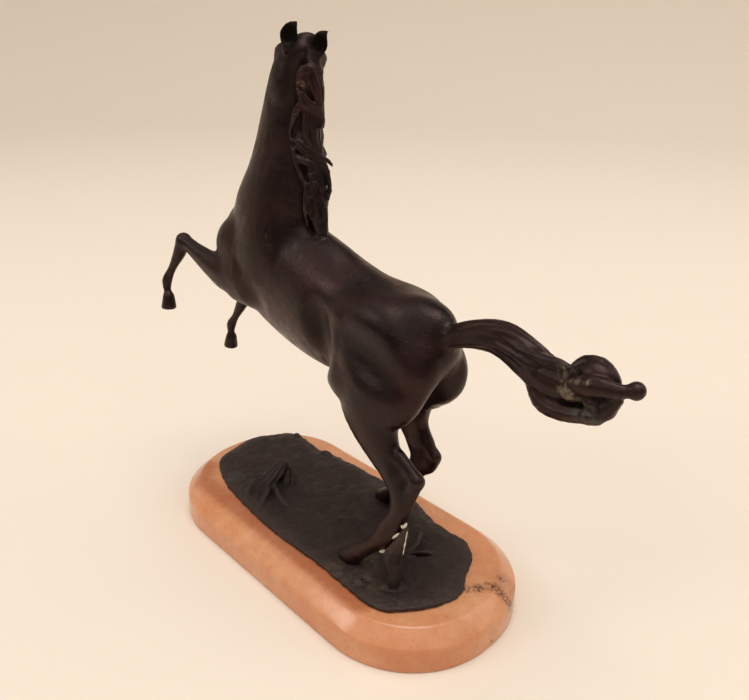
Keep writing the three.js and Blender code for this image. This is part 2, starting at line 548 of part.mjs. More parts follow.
// The tail: a core with strands wound along it, which ends in curls and a knob.
function tail(clay) {
  clay.limb(TAIL, sideways, 3);
  const bare = TAIL.slice(1, 7);
  for (let i = 0; i < TAIL_STRANDS; i++) {
    const strand = bare.map(([x, y, z, wide, deep], step) => {
      const turn = 2 * Math.PI * i / TAIL_STRANDS + 0.3 + 0.22 * step;
      const thick = 0.9 + 0.06 * step;
      return [x, y + Math.cos(turn) * wide * 0.9, z + Math.sin(turn) * deep * 0.9, thick, thick];
    });
    clay.limb(strand, sideways, 1.6);
  }
  const dome = [-133.5, 0, 142.5];
  clay.lump(dome, [8.2, 5.5, 6.8], level, 1.5);
  for (const { stations, soft } of [TAIL_LIP, TAIL_LOBE, TAIL_CURL]) clay.limb(stations, sideways, soft);
  const recess = [-128.5, 5, 145];
  clay.hollow(recess, [3, 2.4, 1.5], leaning(1, 0, 0.2), 0.6);
  clay.limb(TAIL_CROSSING.stations, sideways, TAIL_CROSSING.soft);
  const knots = [
    [[-127, 4.6, 136.4], [3.4, 2.6, 2.8]], [[-135.6, 3, 135.4], [3.6, 3, 2.6]],
    [[-139.6, 1.5, 134], [4.2, 3.6, 4]], [[-134.6, 4, 130.4], [2.6, 2.4, 2.2]],
  ];
  for (const [place, half] of knots) clay.lump(place, half, level, 0.6);
  clay.lump(TAIL_KNOB.at, [TAIL_KNOB.radius, TAIL_KNOB.radius, TAIL_KNOB.radius], level, 0.8);
}

function horseClay() {
  const clay = new Clay([-160, -48, 16], [135, 48, 264], HORSE.cell);
  body(clay);
  for (const leg of Object.values(HIND_LEGS)) hindLeg(clay, leg);
  for (const leg of Object.values(FORE_LEGS)) foreLeg(clay, leg);
  hollows(clay);
  tail(clay);
  head(clay);
  mane(clay);
  return clay;
}

// How far a point is outside a closed outline, negative inside it.
function outsideOutline(outline, x, y) {
  let nearest = Infinity;
  let inside = false;
  for (let i = 0, j = outline.length - 1; i < outline.length; j = i++) {
    const a = outline[j];
    const b = outline[i];
    const ex = b.x - a.x;
    const ey = b.y - a.y;
    const t = Math.min(Math.max(((x - a.x) * ex + (y - a.y) * ey) / (ex * ex + ey * ey), 0), 1);
    nearest = Math.min(nearest, Math.hypot(x - a.x - t * ex, y - a.y - t * ey));
    if ((a.y > y) !== (b.y > y) && x < a.x + (y - a.y) / (b.y - a.y) * ex) inside = !inside;
  }
  return inside ? -nearest : nearest;
}

// The ground: a thin uneven plate with a broken stump, a prop for the left hind leg, a slit and a pit.
function groundClay() {
  const clay = new Clay([-92, -44, 14], [98, 44, 60], GROUND.cell);
  const corners = GROUND_EDGE.map(([x, y]) => new THREE.Vector3(x, y, 0));
  const outline = new THREE.CatmullRomCurve3(corners, true, 'centripetal').getPoints(GROUND_EDGE.length * 3);
  outline.pop();
  const hooves = Object.values(HIND_LEGS).map((leg) => leg.coronet);
  clay.each(clay.low, [Infinity, Infinity, Infinity], (place, x, y, z) => {
    const out = outsideOutline(outline, x, y);
    const rim = 1.4 * Math.max(0, 1 + out / 8) ** 2;
    const wide = 0.35 * Math.sin(x / 6.5 + 1) * Math.sin(y / 5.2 + 0.6);
    const ripple = 0.35 + wide + 0.2 * Math.sin(x / 3.4 + y / 4.1);
    const hoofNear = Math.min(...hooves.map((h) => Math.hypot(x - h[0] - 6, y - h[1])));
    const calm = Math.min(Math.max((hoofNear - 10) / 6, 0), 1);
    const top = GROUND_TOP - rim - ripple * calm;
    clay.distance[place] = Math.max(out, z - top, GROUND_UNDER - z);
  });
  const across = new THREE.Vector3(1, 0, 0);
  const stump = [
    [42, 19, 19.5, 6.8, 5.2], [41, 13.5, 23, 6.2, 5.2], [40.6, 8.6, 27.4, 5, 4.6], [41, 4.6, 31, 3.4, 3.2],
  ];
  clay.limb(stump, across, 1.5);
  const roots = [
    [[37, 2.6, 30, 1.4, 1.4], [35.4, 2.8, 26, 1.7, 1.7], [33.4, 4.4, 21.4, 1.9, 1.9]],
    [[37, 12.5, 23, 1.6, 1.4], [31, 16.4, 22.6, 1.6, 1.3], [25, 18.4, 22.2, 1.3, 1.2], [19, 18.8, 21, 1, 1]],
    [[44, 15, 23.5, 2.4, 2.4], [46.5, 20.5, 22.4, 2, 1.8], [43, 26, 21.8, 1.8, 1.5], [38, 31, 21, 1.4, 1.2]],
    [[39, 15, 23, 2.4, 2.4], [34.5, 20.5, 22.4, 2, 1.6], [31, 25.5, 21.8, 1.6, 1.3], [27, 30.5, 20.8, 1, 1]],
    [[45, 9, 23, 2.2, 2], [51, 13, 21.9, 1.5, 1.2], [57, 18, 21.2, 1.1, 0.9]],
  ];
  for (const root of roots) clay.limb(root, across, 1.2);
  const underStump = [32.5, 10.5, 24.2];
  clay.hollow(underStump, [4.6, 4, 3], leaning(0.5, -1, 0), 0.8);
  const brokenEnd = [37, -0.6, 31];
  clay.hollow(brokenEnd, [3.4, 2.6, 5], leaning(0.7, -0.7, 0), 0.6);
  const prop = [
    [-62.2, 20.8, 19.5, 3.8, 4], [-62.4, 20.8, 24, 3.4, 3.6], [-62.4, 20.8, 29.5, 3.2, 3.4],
    [-61.8, 20.8, 34, 4.1, 3.6], [-61.9, 20.9, 38, 4.3, 3.5], [-64.2, 20.6, 44, 3.5, 3.1],
    [-66.8, 20.2, 50.5, 2.3, 2.3], [-68.6, 19.9, 56, 0.9, 1],
  ];
  clay.limb(prop, MANE_ACROSS, 1.5);
  const bumps = [
    [[46.8, 21, 23], [2, 2.2, 1.4]], [[74.6, -30.4, 21.4], [2, 1.8, 1.5]], [[46, -30.5, 20.8], [4, 2.4, 1.7]],
    [[-50.5, 29.8, 21.8], [3, 2.4, 1.8]], [[-60.8, 23.4, 21.6], [2.6, 2.4, 1.6]],
    [[-66, 19, 21.6], [2.4, 2.4, 1.8]],
  ];
  for (const [place, half] of bumps) clay.lump(place, half, level, 1);
  const crescent = [
    [-45, -15.5, 22.2, 1, 1], [-47.8, -11.5, 22.9, 1.3, 1.2], [-50.6, -6.4, 22.9, 1.3, 1.2],
    [-50.8, -1.5, 22.2, 1, 1],
  ];
  clay.limb(crescent, across, 1.2);
  const slitRim = [[-52.8, 2.6, 21.9, 0.8, 0.8], [-55.2, -3.6, 22.3, 1.3, 0.9], [-57.4, -8, 21.9, 0.8, 0.8]];
  clay.limb(slitRim, across, 1.5);
  const slit = [-56.4, -3.8, 21.6];
  clay.hollow(slit, [6.4, 1, 2], leaning(0.62, 0.78, 0), 0.3);
  const pit = [-52.7, 27, 22.6];
  clay.hollow(pit, [3.4, 2.2, 2], leaning(0.66, 0.75, 0), 0.5);
  const leg = new Clay(clay.low, [-30, 44, 60], GROUND.cell);
  hindLeg(leg, HIND_LEGS.left);
  for (let i = 0; i < leg.distance.length; i++) leg.distance[i] -= GLUE_GAP;
  leg.each(leg.low, [Infinity, Infinity, PROP_FREE_FROM], (place) => {
    leg.distance[place] = FAR;
  });
  clay.take(leg, 0.01, (own, other, soft) => softMax(own, -other, soft));
  clay.each(clay.low, [Infinity, Infinity, Infinity], (place, x, y, z) => {
    clay.distance[place] = Math.max(clay.distance[place], GROUND_UNDER - z);
  });
  return clay;
}

// The corners of a grid cell and the ends of its edges, in the order of the tables.
const CORNERS = [[0, 0, 0], [1, 0, 0], [1, 1, 0], [0, 1, 0], [0, 0, 1], [1, 0, 1], [1, 1, 1], [0, 1, 1]];
const EDGE_ENDS = [
  [0, 1], [1, 2], [3, 2], [0, 3], [4, 5], [5, 6], [7, 6], [4, 7], [0, 4], [1, 5], [2, 6], [3, 7],
];

// A surface can't close round clay that meets only across the diagonal of a grid square, so the nearer empty
// corner of each such square is filled, until no such square is left.
function fillDiagonals(clay, least) {
  const [nx, ny] = clay.count;
  const step = [1, nx, nx * ny];
  const d = clay.distance;
  let filled = true;
  while (filled) {
    filled = false;
    for (const [u, v] of [[0, 1], [1, 2], [0, 2]]) {
      for (let place = 0; place < d.length - step[u] - step[v]; place++) {
        const across = place + step[u] + step[v];
        const others = [place + step[u], place + step[v]];
        const full = d[place] < 0;
        if (full !== d[across] < 0 || full === d[others[0]] < 0 || full === d[others[1]] < 0) continue;
        const empty = full ? others : [place, across];
        d[d[empty[0]] < d[empty[1]] ? empty[0] : empty[1]] = -least;
        filled = true;
      }
    }
  }
}

// The surface where the distance is zero, as shared vertices and triangles.
function skin(clay) {
  const [nx, ny, nz] = clay.count;
  const step = [1, nx, nx * ny];
  const offset = CORNERS.map((c) => c[0] * step[0] + c[1] * step[1] + c[2] * step[2]);
  const made = new Int32Array(clay.distance.length * 3).fill(-1);
  const points = [];
  const faces = [];
  const least = clay.cell * 0.02;
  fillDiagonals(clay, least);
  const value = (place) => {
    const d = clay.distance[place];
    return Math.abs(d) < least ? (d < 0 ? -least : least) : d;
  };
  const cross = (cell, edge, i, j, k) => {
    const [from, to] = EDGE_ENDS[edge];
    const axis = CORNERS[from].findIndex((v, n) => v !== CORNERS[to][n]);
    const key = (cell + offset[from]) * 3 + axis;
    if (made[key] < 0) {
      const a = value(cell + offset[from]);
      const b = value(cell + offset[to]);
      const place = [i, j, k].map((v, n) => v + CORNERS[from][n]);
      place[axis] += a / (a - b);
      made[key] = points.length;
      points.push(place.map((v, n) => clay.low[n] + v * clay.cell));
    }
    return made[key];
  };
  for (let k = 0; k < nz - 1; k++) {
    for (let j = 0; j < ny - 1; j++) {
      for (let i = 0; i < nx - 1; i++) {
        const cell = (k * ny + j) * nx + i;
        let kind = 0;
        for (let c = 0; c < 8; c++) if (value(cell + offset[c]) < 0) kind |= 1 << c;
        if (edgeTable[kind] === 0) continue;
        for (let n = kind * 16; triTable[n] >= 0; n += 3) {
          faces.push([0, 2, 1].map((turn) => cross(cell, triTable[n + turn], i, j, k)));
        }
      }
    }
  }
  return { points, faces };
}

// The largest surface alone: bubbles inside the clay and loose crumbs are dropped.
function largest({ points, faces }) {
  const owner = points.map((point, v) => v);
  const root = (v) => {
    let found = v;
    while (owner[found] !== found) found = owner[found];
    owner[v] = found;
    return found;
  };
  for (const [a, b, c] of faces) {
    owner[root(a)] = root(b);
    owner[root(b)] = root(c);
  }
  const size = new Map();
  for (const [a] of faces) size.set(root(a), (size.get(root(a)) || 0) + 1);
  const biggest = [...size.keys()].reduce((best, v) => (size.get(v) > size.get(best) ? v : best));
  return { points, faces: faces.filter(([a]) => root(a) === biggest) };
}

// Thins a surface to about the wanted number of triangles: the edge whose loss changes the form
// least goes first, and no loss may fold a face over or pinch the surface.
function thin({ points, faces }, wanted) {
  const around = points.map(() => new Set());
  const error = points.map(() => new Float64Array(10));
  const age = new Int32Array(points.length);
  faces.forEach((face, f) => {
    const normal = faceNormal(...face.map((v) => points[v]));
    const size = Math.hypot(...normal) || 1;
    const [a, b, c] = normal.map((v) => v / size);
    const d = -(a * points[face[0]][0] + b * points[face[0]][1] + c * points[face[0]][2]);
    const plane = [a * a, a * b, a * c, a * d, b * b, b * c, b * d, c * c, c * d, d * d];
    for (const v of face) {
      around[v].add(f);
      plane.forEach((value, i) => { error[v][i] += value * size; });
    }
  });
  const queue = new Queue();
  const neighbours = (v) => {
    const found = new Set();
    for (const f of around[v]) for (const w of faces[f]) if (w !== v) found.add(w);
    return found;
  };
  const offer = (v, w) => {
    const sum = error[v].map((value, i) => value + error[w][i]);
    const place = bestPlace(sum, points[v], points[w]);
    const length = Math.hypot(...points[v].map((value, i) => value - points[w][i]));
    queue.push({ cost: errorAt(sum, place) + 1e-4 * length ** 2, v, w, place, seen: age[v] + age[w] });
  };
  points.forEach((point, v) => {
    for (const w of neighbours(v)) if (v < w) offer(v, w);
  });
  let left = faces.length;
  while (left > wanted && queue.size() > 0) {
    const { v, w, place, seen } = queue.pop();
    if (around[v].size === 0 || around[w].size === 0 || seen !== age[v] + age[w]) continue;
    const shared = [...neighbours(v)].filter((u) => neighbours(w).has(u));
    if (shared.length !== 2 || folds(v, w, place) || folds(w, v, place)) continue;
    for (const f of around[w]) {
      if (faces[f].includes(v)) {
        for (const u of faces[f]) if (u !== w) around[u].delete(f);
        faces[f] = null;
        left -= 1;
      } else {
        faces[f] = faces[f].map((u) => (u === w ? v : u));
        around[v].add(f);
      }
    }
    around[w].clear();
    points[v] = place;
    error[w].forEach((value, i) => { error[v][i] += value; });
    age[v] += 1;
    for (const u of neighbours(v)) age[u] += 1;
    const renewed = new Set([v, ...neighbours(v)]);
    for (const u of renewed) for (const t of neighbours(u)) if (!renewed.has(t) || u < t) offer(u, t);
  }
  return { points, faces: faces.filter((face) => face !== null) };

  function folds(v, w, place) {
    for (const f of around[v]) {
      if (faces[f].includes(w)) continue;
      const before = faceNormal(...faces[f].map((u) => points[u]));
      const after = faceNormal(...faces[f].map((u) => (u === v ? place : points[u])));
      const agree = before[0] * after[0] + before[1] * after[1] + before[2] * after[2];
      const size = Math.hypot(...after);
      if (size < 1e-3 || agree < 0.3 * Math.hypot(...before) * size) return true;
    }
    return false;
  }
}

function faceNormal(a, b, c) {
  const p = b.map((v, i) => v - a[i]);
  const q = c.map((v, i) => v - a[i]);
  return [p[1] * q[2] - p[2] * q[1], p[2] * q[0] - p[0] * q[2], p[0] * q[1] - p[1] * q[0]];
}

function errorAt(q, [x, y, z]) {
  return q[0] * x * x + q[4] * y * y + q[7] * z * z + q[9]
    + 2 * (q[1] * x * y + q[2] * x * z + q[5] * y * z + q[3] * x + q[6] * y + q[8] * z);
}

// The point of least error near an edge, or the better of its middle and its ends.
function bestPlace(q, a, b) {
  const middle = a.map((v, i) => (v + b[i]) / 2);
  const matrix = new THREE.Matrix3().set(q[0], q[1], q[2], q[1], q[4], q[5], q[2], q[5], q[7]);
  const scale = q[0] + q[4] + q[7];
  if (Math.abs(matrix.determinant()) > 1e-4 * scale ** 3) {
    const best = new THREE.Vector3(-q[3], -q[6], -q[8]).applyMatrix3(matrix.invert()).toArray();
    const length = Math.hypot(...a.map((v, i) => v - b[i]));
    if (Math.hypot(...best.map((v, i) => v - middle[i])) < length) return best;
  }
  return [middle, a, b].reduce((best, place) => (errorAt(q, place) < errorAt(q, best) ? place : best));
}

// A queue that gives back its cheapest entry first.
class Queue {
  constructor() {
    this.items = [];
  }

  size() {
    return this.items.length;
  }

  push(item) {
    const items = this.items;
    let i = items.push(item) - 1;
    while (i > 0) {
      const parent = (i - 1) >> 1;
      if (items[parent].cost <= item.cost) break;
      items[i] = items[parent];
      i = parent;
    }
    items[i] = item;
  }

  pop() {
    const items = this.items;
    const first = items[0];
    const item = items.pop();
    const size = items.length;
    if (size === 0) return first;
    let i = 0;
    for (;;) {
      let child = 2 * i + 1;
      if (child >= size) break;
      if (child + 1 < size && items[child + 1].cost < items[child].cost) child += 1;
      if (items[child].cost >= item.cost) break;
      items[i] = items[child];
      i = child;
    }
    items[i] = item;
    return first;
  }
}

function geometryOf({ points, faces }) {
  const used = new Map();
  const positions = [];
  const index = [];
  for (const v of faces.flat()) {
    if (!used.has(v)) {
      used.set(v, used.size);
      positions.push(...points[v]);
    }
    index.push(used.get(v));
  }
  const geometry = new THREE.BufferGeometry();
  geometry.setAttribute('position', new THREE.Float32BufferAttribute(positions, 3));
  geometry.setIndex(index);
  geometry.computeVertexNormals();
  return geometry;
}

// A rectangle with rounded corners, anticlockwise from the middle of its front end.
function roundedOutline(inset) {
  const radius = PLINTH.corner - inset;
  const x = PLINTH.length / 2 - PLINTH.corner;
  const y = PLINTH.width / 2 - PLINTH.corner;
  const centres = [[x, y], [-x, y], [-x, -y], [x, -y]];
  return centres.flatMap(([cx, cy], quarter) => Array.from({ length: CORNER_STEPS + 1 }, (unused, i) => {
    const angle = (quarter + i / CORNER_STEPS) * Math.PI / 2;
    return new THREE.Vector2(cx + radius * Math.cos(angle), cy + radius * Math.sin(angle));
  }));
}

// The plinth: outlines stacked from its underside to its top, joined by faces and closed.
function plinthGeometry() {
  const shoulder = PLINTH.height - CHAMFER.down;
  const rings = [
    [EDGE_ROUND, 0], [0, EDGE_ROUND], [0, shoulder - EDGE_ROUND], [EDGE_ROUND, shoulder + EDGE_ROUND / 2],
    [CHAMFER.inward - EDGE_ROUND, PLINTH.height - EDGE_ROUND / 2],
    [CHAMFER.inward + EDGE_ROUND, PLINTH.height],
  ];
  const outlines = rings.map(([inset]) => roundedOutline(inset));
  const count = outlines[0].length;
  const points = outlines.flatMap((outline, r) => outline.map((p) => [p.x, p.y, rings[r][1]]));
  const faces = [];
  for (let r = 0; r < rings.length - 1; r++) {
    for (let i = 0; i < count; i++) {
      const a = r * count + i;
      const b = r * count + (i + 1) % count;
      faces.push([a, b, b + count], [a, b + count, a + count]);
    }
  }
  const cap = THREE.ShapeUtils.triangulateShape(outlines[0], []);
  const top = (rings.length - 1) * count;
  for (const [a, b, c] of cap) {
    faces.push([a, c, b], [a + top, b + top, c + top]);
  }
  return geometryOf({ points, faces });
}

function named(name, geometry, material) {
  const mesh = new THREE.Mesh(geometry, material);
  mesh.name = name;
  return mesh;
}

const cast = (clay, triangles) => geometryOf(thin(largest(skin(clay)), triangles));

const horse = new THREE.Group();
horse.add(named('marble_plinth', plinthGeometry(), MARBLE));
horse.add(named('bronze_ground', cast(groundClay(), GROUND.triangles), DARK_BRONZE));
horse.add(named('bronze_horse', cast(horseClay(), HORSE.triangles), BRONZE));

export default horse;
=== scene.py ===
"""A bronze horse rising on its hind legs, on its cast ground and marble plinth.

The horse and the ground are modelled as clay: lumps and limbs are pressed onto each other in a fine grid,
and the surface of what stands there is taken off as a mesh. Sizes are in millimetres unless a name says
otherwise. +X is the way the horse faces, +Y is its left side and +Z is up.
"""
import math

import bmesh
import bpy
import numpy as np
import openvdb
from mathutils import Matrix, Vector, noise


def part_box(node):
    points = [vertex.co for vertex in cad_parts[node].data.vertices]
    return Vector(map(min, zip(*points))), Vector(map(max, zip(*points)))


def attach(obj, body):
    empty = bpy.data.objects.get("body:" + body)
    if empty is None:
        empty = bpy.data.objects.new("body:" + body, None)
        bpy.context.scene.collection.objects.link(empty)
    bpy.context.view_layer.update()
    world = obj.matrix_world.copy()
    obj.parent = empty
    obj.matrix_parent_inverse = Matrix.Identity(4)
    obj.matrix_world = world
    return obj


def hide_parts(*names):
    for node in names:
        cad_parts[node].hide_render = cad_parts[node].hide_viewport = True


bl_info = {
    "name": "Bronze horse",
    "version": (1, 0, 0),
    "blender": (4, 5, 0),
    "location": "View3D > Sidebar > Bronze horse",
    "description": "Models a small bronze horse on its marble plinth",
    "category": "Add Mesh",
}

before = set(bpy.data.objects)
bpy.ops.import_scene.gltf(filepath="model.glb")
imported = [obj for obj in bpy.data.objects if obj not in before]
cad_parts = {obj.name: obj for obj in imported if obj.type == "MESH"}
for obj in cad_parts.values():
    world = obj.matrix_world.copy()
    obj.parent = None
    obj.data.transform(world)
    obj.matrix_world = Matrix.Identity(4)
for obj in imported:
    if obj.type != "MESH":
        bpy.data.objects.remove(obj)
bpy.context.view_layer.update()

MM = 0.001
# The distance that stands for far from anything in a grid of clay.
FAR = 20.0
# Two heights closer than this, in metres, are the same.
TINY = 1e-5

PLINTH_LOW, PLINTH_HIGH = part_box("marble_plinth")
GROUND_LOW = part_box("bronze_ground")[0]
HORSE_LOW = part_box("bronze_horse")[0]
GROUND_UNDER = GROUND_LOW[2] / MM
SOLE_HEIGHT = HORSE_LOW[2] / MM
GROUND_TOP = SOLE_HEIGHT - 0.3
# Above this height the prop keeps that far from the leg that it holds up.
PROP_FREE_FROM = 28
GLUE_GAP = 0.6


def colour(code):
    """A linear colour with alpha, from an sRGB hex code."""
    parts = [int(code[i:i + 2], 16) / 255 for i in (1, 3, 5)]
    return [p / 12.92 if p <= 0.04045 else ((p + 0.055) / 1.055) ** 2.4 for p in parts] + [1.0]


# The horse's limbs, joint by joint.
HIND_LEGS = {
    "left": dict(
        side=1, thigh=(-45, 11, 124), ham=(-43, 14.5, 112), flesh=(-42, 16.5, 101),
        gaskin=(-46.5, 17.5, 91), shank=(-53, 17.5, 82), hock=(-59, 17.7, 77), stifle=(-24.5, 17, 109),
        tendon=(-60.5, 17.5, 86), point=(-71, 17.5, 79), heel=(-67, 18, 69), below=(-63, 18.2, 68),
        cannon=(-61.6, 19, 57), fetlock=(-56.8, 20.6, 46.5), pastern=(-50, 22, 37.7),
        coronet=(-42.8, 23, 30),
    ),
    "right": dict(
        side=-1, thigh=(-40, -11, 124), ham=(-37.5, -14.5, 112), flesh=(-32, -17, 99.5),
        gaskin=(-32, -18, 87), shank=(-35, -18, 78), hock=(-39.5, -18, 70.5), stifle=(-16, -17, 110),
        tendon=(-38.5, -18, 78), point=(-49, -18, 66.5), heel=(-46, -18, 60), below=(-40, -18.3, 63),
        cannon=(-36, -19, 52.5), fetlock=(-30, -20.3, 43), pastern=(-23.5, -21.6, 36),
        coronet=(-18.8, -22.8, 30.4),
    ),
}
FORE_LEGS = {
    "left": dict(
        shoulder=(54, 14.5, 138), arm=(66, 17, 136), elbow=(58, 16, 129), forearm=(82, 19, 140.5),
        wrist=(95, 20.5, 145.5), knee=(101, 21, 147.3), shin=(103.5, 22.5, 141), cannon=(109, 25, 131),
        fetlock=(112.5, 27, 123.5), pastern=(110.8, 28, 118), coronet=(109.8, 28.2, 114.8),
        down=(-0.1, 0.05, -1),
    ),
    "right": dict(
        shoulder=(56, -14.5, 137), arm=(66, -15.5, 130), elbow=(58, -15.5, 127), forearm=(81, -15, 122),
        wrist=(93, -13.5, 114), knee=(97, -13, 111.5), shin=(100, -12.3, 105), cannon=(105, -10.5, 96),
        fetlock=(108.5, -9.5, 90), pastern=(108.5, -9, 85), coronet=(108.5, -9, 82), down=(0.05, 0, -1),
    ),
}
LEFT_BUTTOCK = (-51, 9.5, 123)
RIGHT_BUTTOCK = (-51, -10, 116.5)
HIND_HOOF_SIZE = 4.4
FORE_HOOF_SIZE = 4.2
FORE_HOOF_HEIGHT = 6.4

# The head is turned to the horse's right, tilted a little and nodded.
POLL = np.array((23.6, -1.4, 247))
HEAD_TURN = math.radians(-37)
HEAD_TILT = math.radians(9)
HEAD_NOD = math.radians(40)

# The line of the crest, from the poll down to the withers, where the mane grows.
CREST = [(22, -1, 246), (20.5, -1, 236), (22.5, -1, 222), (21, 0, 205), (18, 0, 188), (13, 0, 171)]
# Each layer of the mane on its right side: locks, half thickness, length and how far they stand off.
MANE_LAYERS = [
    dict(locks=11, thick=2.7, length=28, lift=0),
    dict(locks=10, thick=2.3, length=23, lift=1.3),
    dict(locks=8, thick=1.9, length=17, lift=2.4),
]
LOCK_STEPS = 6
# How far to the right the mane reaches, at each height, measured along MANE_ACROSS.
MANE_EDGE = [(240, 8.5), (231, 6.8), (212, 6.9), (202, 7.5), (195, 3.9), (182, 4.3), (176, 5.4), (166, 5.8)]
# The mane over the crest, seen from behind: its middle and its half width at each height, from the poll down.
MANE_BACK = [
    (240, 17.6, -1.6, 2.5), (235, 16.9, -0.6, 4.6), (227, 17, -0.2, 5.4), (217, 17.7, 0.5, 6),
    (208, 18.2, 1.4, 6.2), (200, 17.2, 0.7, 6), (192, 15.6, 0.5, 5.6), (184, 13.5, 0.7, 4.9),
    (176, 11.5, 1.3, 4.6), (168, 9.7, 1.2, 3.4), (160, 8, 0, 2),
]
MANE_DEPTH = 3.2
MANE_ACROSS = np.array((0.69, 0.72, 0))
MANE_OUT = np.array((-0.72, 0.69, 0))
# Its locks: half thickness, then height and distance from the middle, to the left, at each bend.
BACK_LOCKS = [
    (2.2, [(236, 0.5), (234.6, 3), (231.5, 4.8), (227.6, 5.6)]),
    (3.0, [(235, 0), (231, -1), (227, -2.4), (223, -3.8), (220.5, -4.6)]),
    (1.1, [(226.8, 5.7), (223.6, 3.8), (221, 1.8), (219.4, -0.6), (217.4, -3.4), (215.3, -5.2)]),
    (1.3, [(225.8, 3.2), (222.4, 0.3), (220, -3), (217.6, -5.3), (214.3, -6.4), (211.2, -5.8)]),
    (0.9, [(223, 2.6), (219.9, 5.5), (216.6, 6.8), (212.8, 7.6)]),
    (1.0, [(221.4, 2.4), (217.4, 4.4), (214, 6.2), (211, 7.3), (208, 7.7), (205.5, 7)]),
    (2.2, [(220.5, 1.5), (217, 0.6), (213, 0.3), (209, 0.2), (205.5, -0.6), (203, -2.5)]),
    (2.0, [(219, -0.9), (215, -2.4), (211, -3), (207, -3), (203.5, -3.8)]),
    (1.5, [(206, 7.4), (205.3, 4.2), (202.8, 1.5), (201.3, -1), (199, -4.4), (197, -7.4), (195, -8.8)]),
    (1.6, [(203, 5), (200.6, 1.8), (199.3, -1.4), (196.8, -4.6), (193.5, -6), (189, -6.4), (184.7, -6.3),
           (181, -5.2)]),
    (1.7, [(203, 7.4), (199.4, 6.6), (197.6, 4.6), (196.6, 1.6), (195.2, -1.6), (192.8, -3.2),
           (189, -3.4), (185, -4)]),
    (1.2, [(201.5, 7), (197.2, 6.8), (193.4, 6), (189.6, 5), (187, 4)]),
    (1.5, [(192, -1.5), (189.5, -1.8), (186, -0.3), (182.4, 0.6), (179, 0.2), (175.6, -0.2), (172, -0.2)]),
    (1.4, [(191, 1.5), (188, 1.4), (185, 1.9), (181.5, 3.9), (177.7, 4.8), (175, 4), (172.5, 3.4)]),
    (1.4, [(188, -3.2), (184, -2.4), (180, -2.5), (177, -2.9), (173.5, -3.2), (170, -2.6), (166, -2.2)]),
    (1.2, [(187.5, 3.6), (182.4, 4.7), (177.6, 5.6), (173, 6), (169, 5.6)]),
]

# The tail's core: x, y, z, half width and half depth, from its root to the end of the hair.
TAIL = [
    (-58, 0, 133.5, 5.5, 6), (-70, 0, 138.6, 4.6, 4.6), (-80, 0, 142.6, 4.6, 5.2),
    (-90, 0, 144.9, 5, 6.1), (-98, 0, 144.4, 5.4, 6.9), (-105, 0, 141.9, 5.8, 7.2),
    (-111, 0, 139, 6.2, 7.6), (-117, 0, 136.8, 6.6, 7.6), (-124, 0, 136.6, 6.2, 7),
    (-131, 0, 137.8, 5.4, 5.8), (-138, 0, 139, 4.4, 4.6),
]
TAIL_STRANDS = 6
# The forms that its end is made of: how soft they join, how many grooves they have and their stations.
TAIL_LIP = (1.2, 5, [
    (-103, 3, 146.2, 1.6, 1.6), (-110, 3.2, 145, 2, 2), (-115.5, 3, 144.6, 2.1, 2), (-120, 3, 145, 2, 2),
    (-124.2, 2.4, 144.2, 1.7, 1.7), (-127, 1, 142.4, 1.2, 1.2),
])
TAIL_LOBE = (0.7, 6, [
    (-107, 1, 135.2, 1.4, 1.4), (-111, 2, 132, 2.2, 2.4), (-115.4, 3, 129, 3.3, 3.6),
    (-120.5, 3.5, 128.2, 3.8, 3.9), (-127, 3.5, 128.4, 3.7, 3.5), (-133, 3, 129.8, 3.6, 3.3),
    (-137.6, 2.4, 131, 3.8, 3.6), (-141, 2, 135, 3.2, 3.2), (-143.8, 2, 138.8, 2.2, 2.2),
])
TAIL_CURL = (0.8, 5, [
    (-125.5, -1, 144, 2, 2), (-129.3, -1.5, 147, 2.5, 2.6), (-134, -2, 147.6, 2.7, 2.6),
    (-138, -2, 145.6, 2.4, 2.4), (-140.6, -1.5, 143, 2.2, 2.2),
])
TAIL_CROSSING = (0.6, 4, [
    (-126.4, 4, 139.6, 1.8, 1.8), (-131, 5, 140.6, 3, 3.5), (-136, 5, 142.2, 3.1, 3.9),
    (-141, 4, 142.5, 2.8, 3.4), (-145, 2.5, 142.6, 2.2, 2.6), (-149, 0, 143.9, 1.8, 1.9),
])
TAIL_KNOB = (-148.7, 0, 143.4)
TAIL_KNOB_RADIUS = 3.2

# The bumpy edge of the cast ground.
GROUND_EDGE = [
    (80, 22), (86, 14), (91, -4), (87, -20), (78, -32), (55, -31), (38, -34), (3, -36), (-23, -35),
    (-45, -29), (-62, -29), (-72, -23), (-79, -10), (-85, 0), (-84, 11), (-79, 22), (-70, 33), (-58, 36),
    (-26, 35), (8, 36), (44, 33), (64, 29),
]

# The lowest and highest corners of the grids that the horse and the ground are modelled in.
HORSE_GRID = ((-160, -48, 16), (135, 48, 266))
GROUND_GRID = ((-92, -44, 14), (98, 44, 60))

# The drops of glue at the prop: the two ends of each and its half thickness.
GLUE_DROPS = [
    ((-68.4, 21.2, 57), (-69, 20.8, 58.4), 0.7), ((-67.6, 21.6, 56.4), (-67.4, 21.6, 56.8), 0.6),
    ((-63, 22.6, 48.6), (-66, 22, 52.6), 0.6), ((-56, 22.6, 37.6), (-58, 22.4, 39), 0.9),
    ((-70.2, 21.2, 55.4), (-69.6, 22.6, 44), 0.3),
]

LAMPLIGHT = "#fff8f0"
# Each area light: its name, its place and width in metres and its power in watts.
LAMPS = [
    ("key_light", (0.65, 1.1, 0.95), 0.4, 2.9),
    ("soft_box", (-0.4, 0.1, 2.6), 1.6, 30.0),
    ("window_light", (-0.9, -1.0, 1.1), 0.9, 3.0),
]


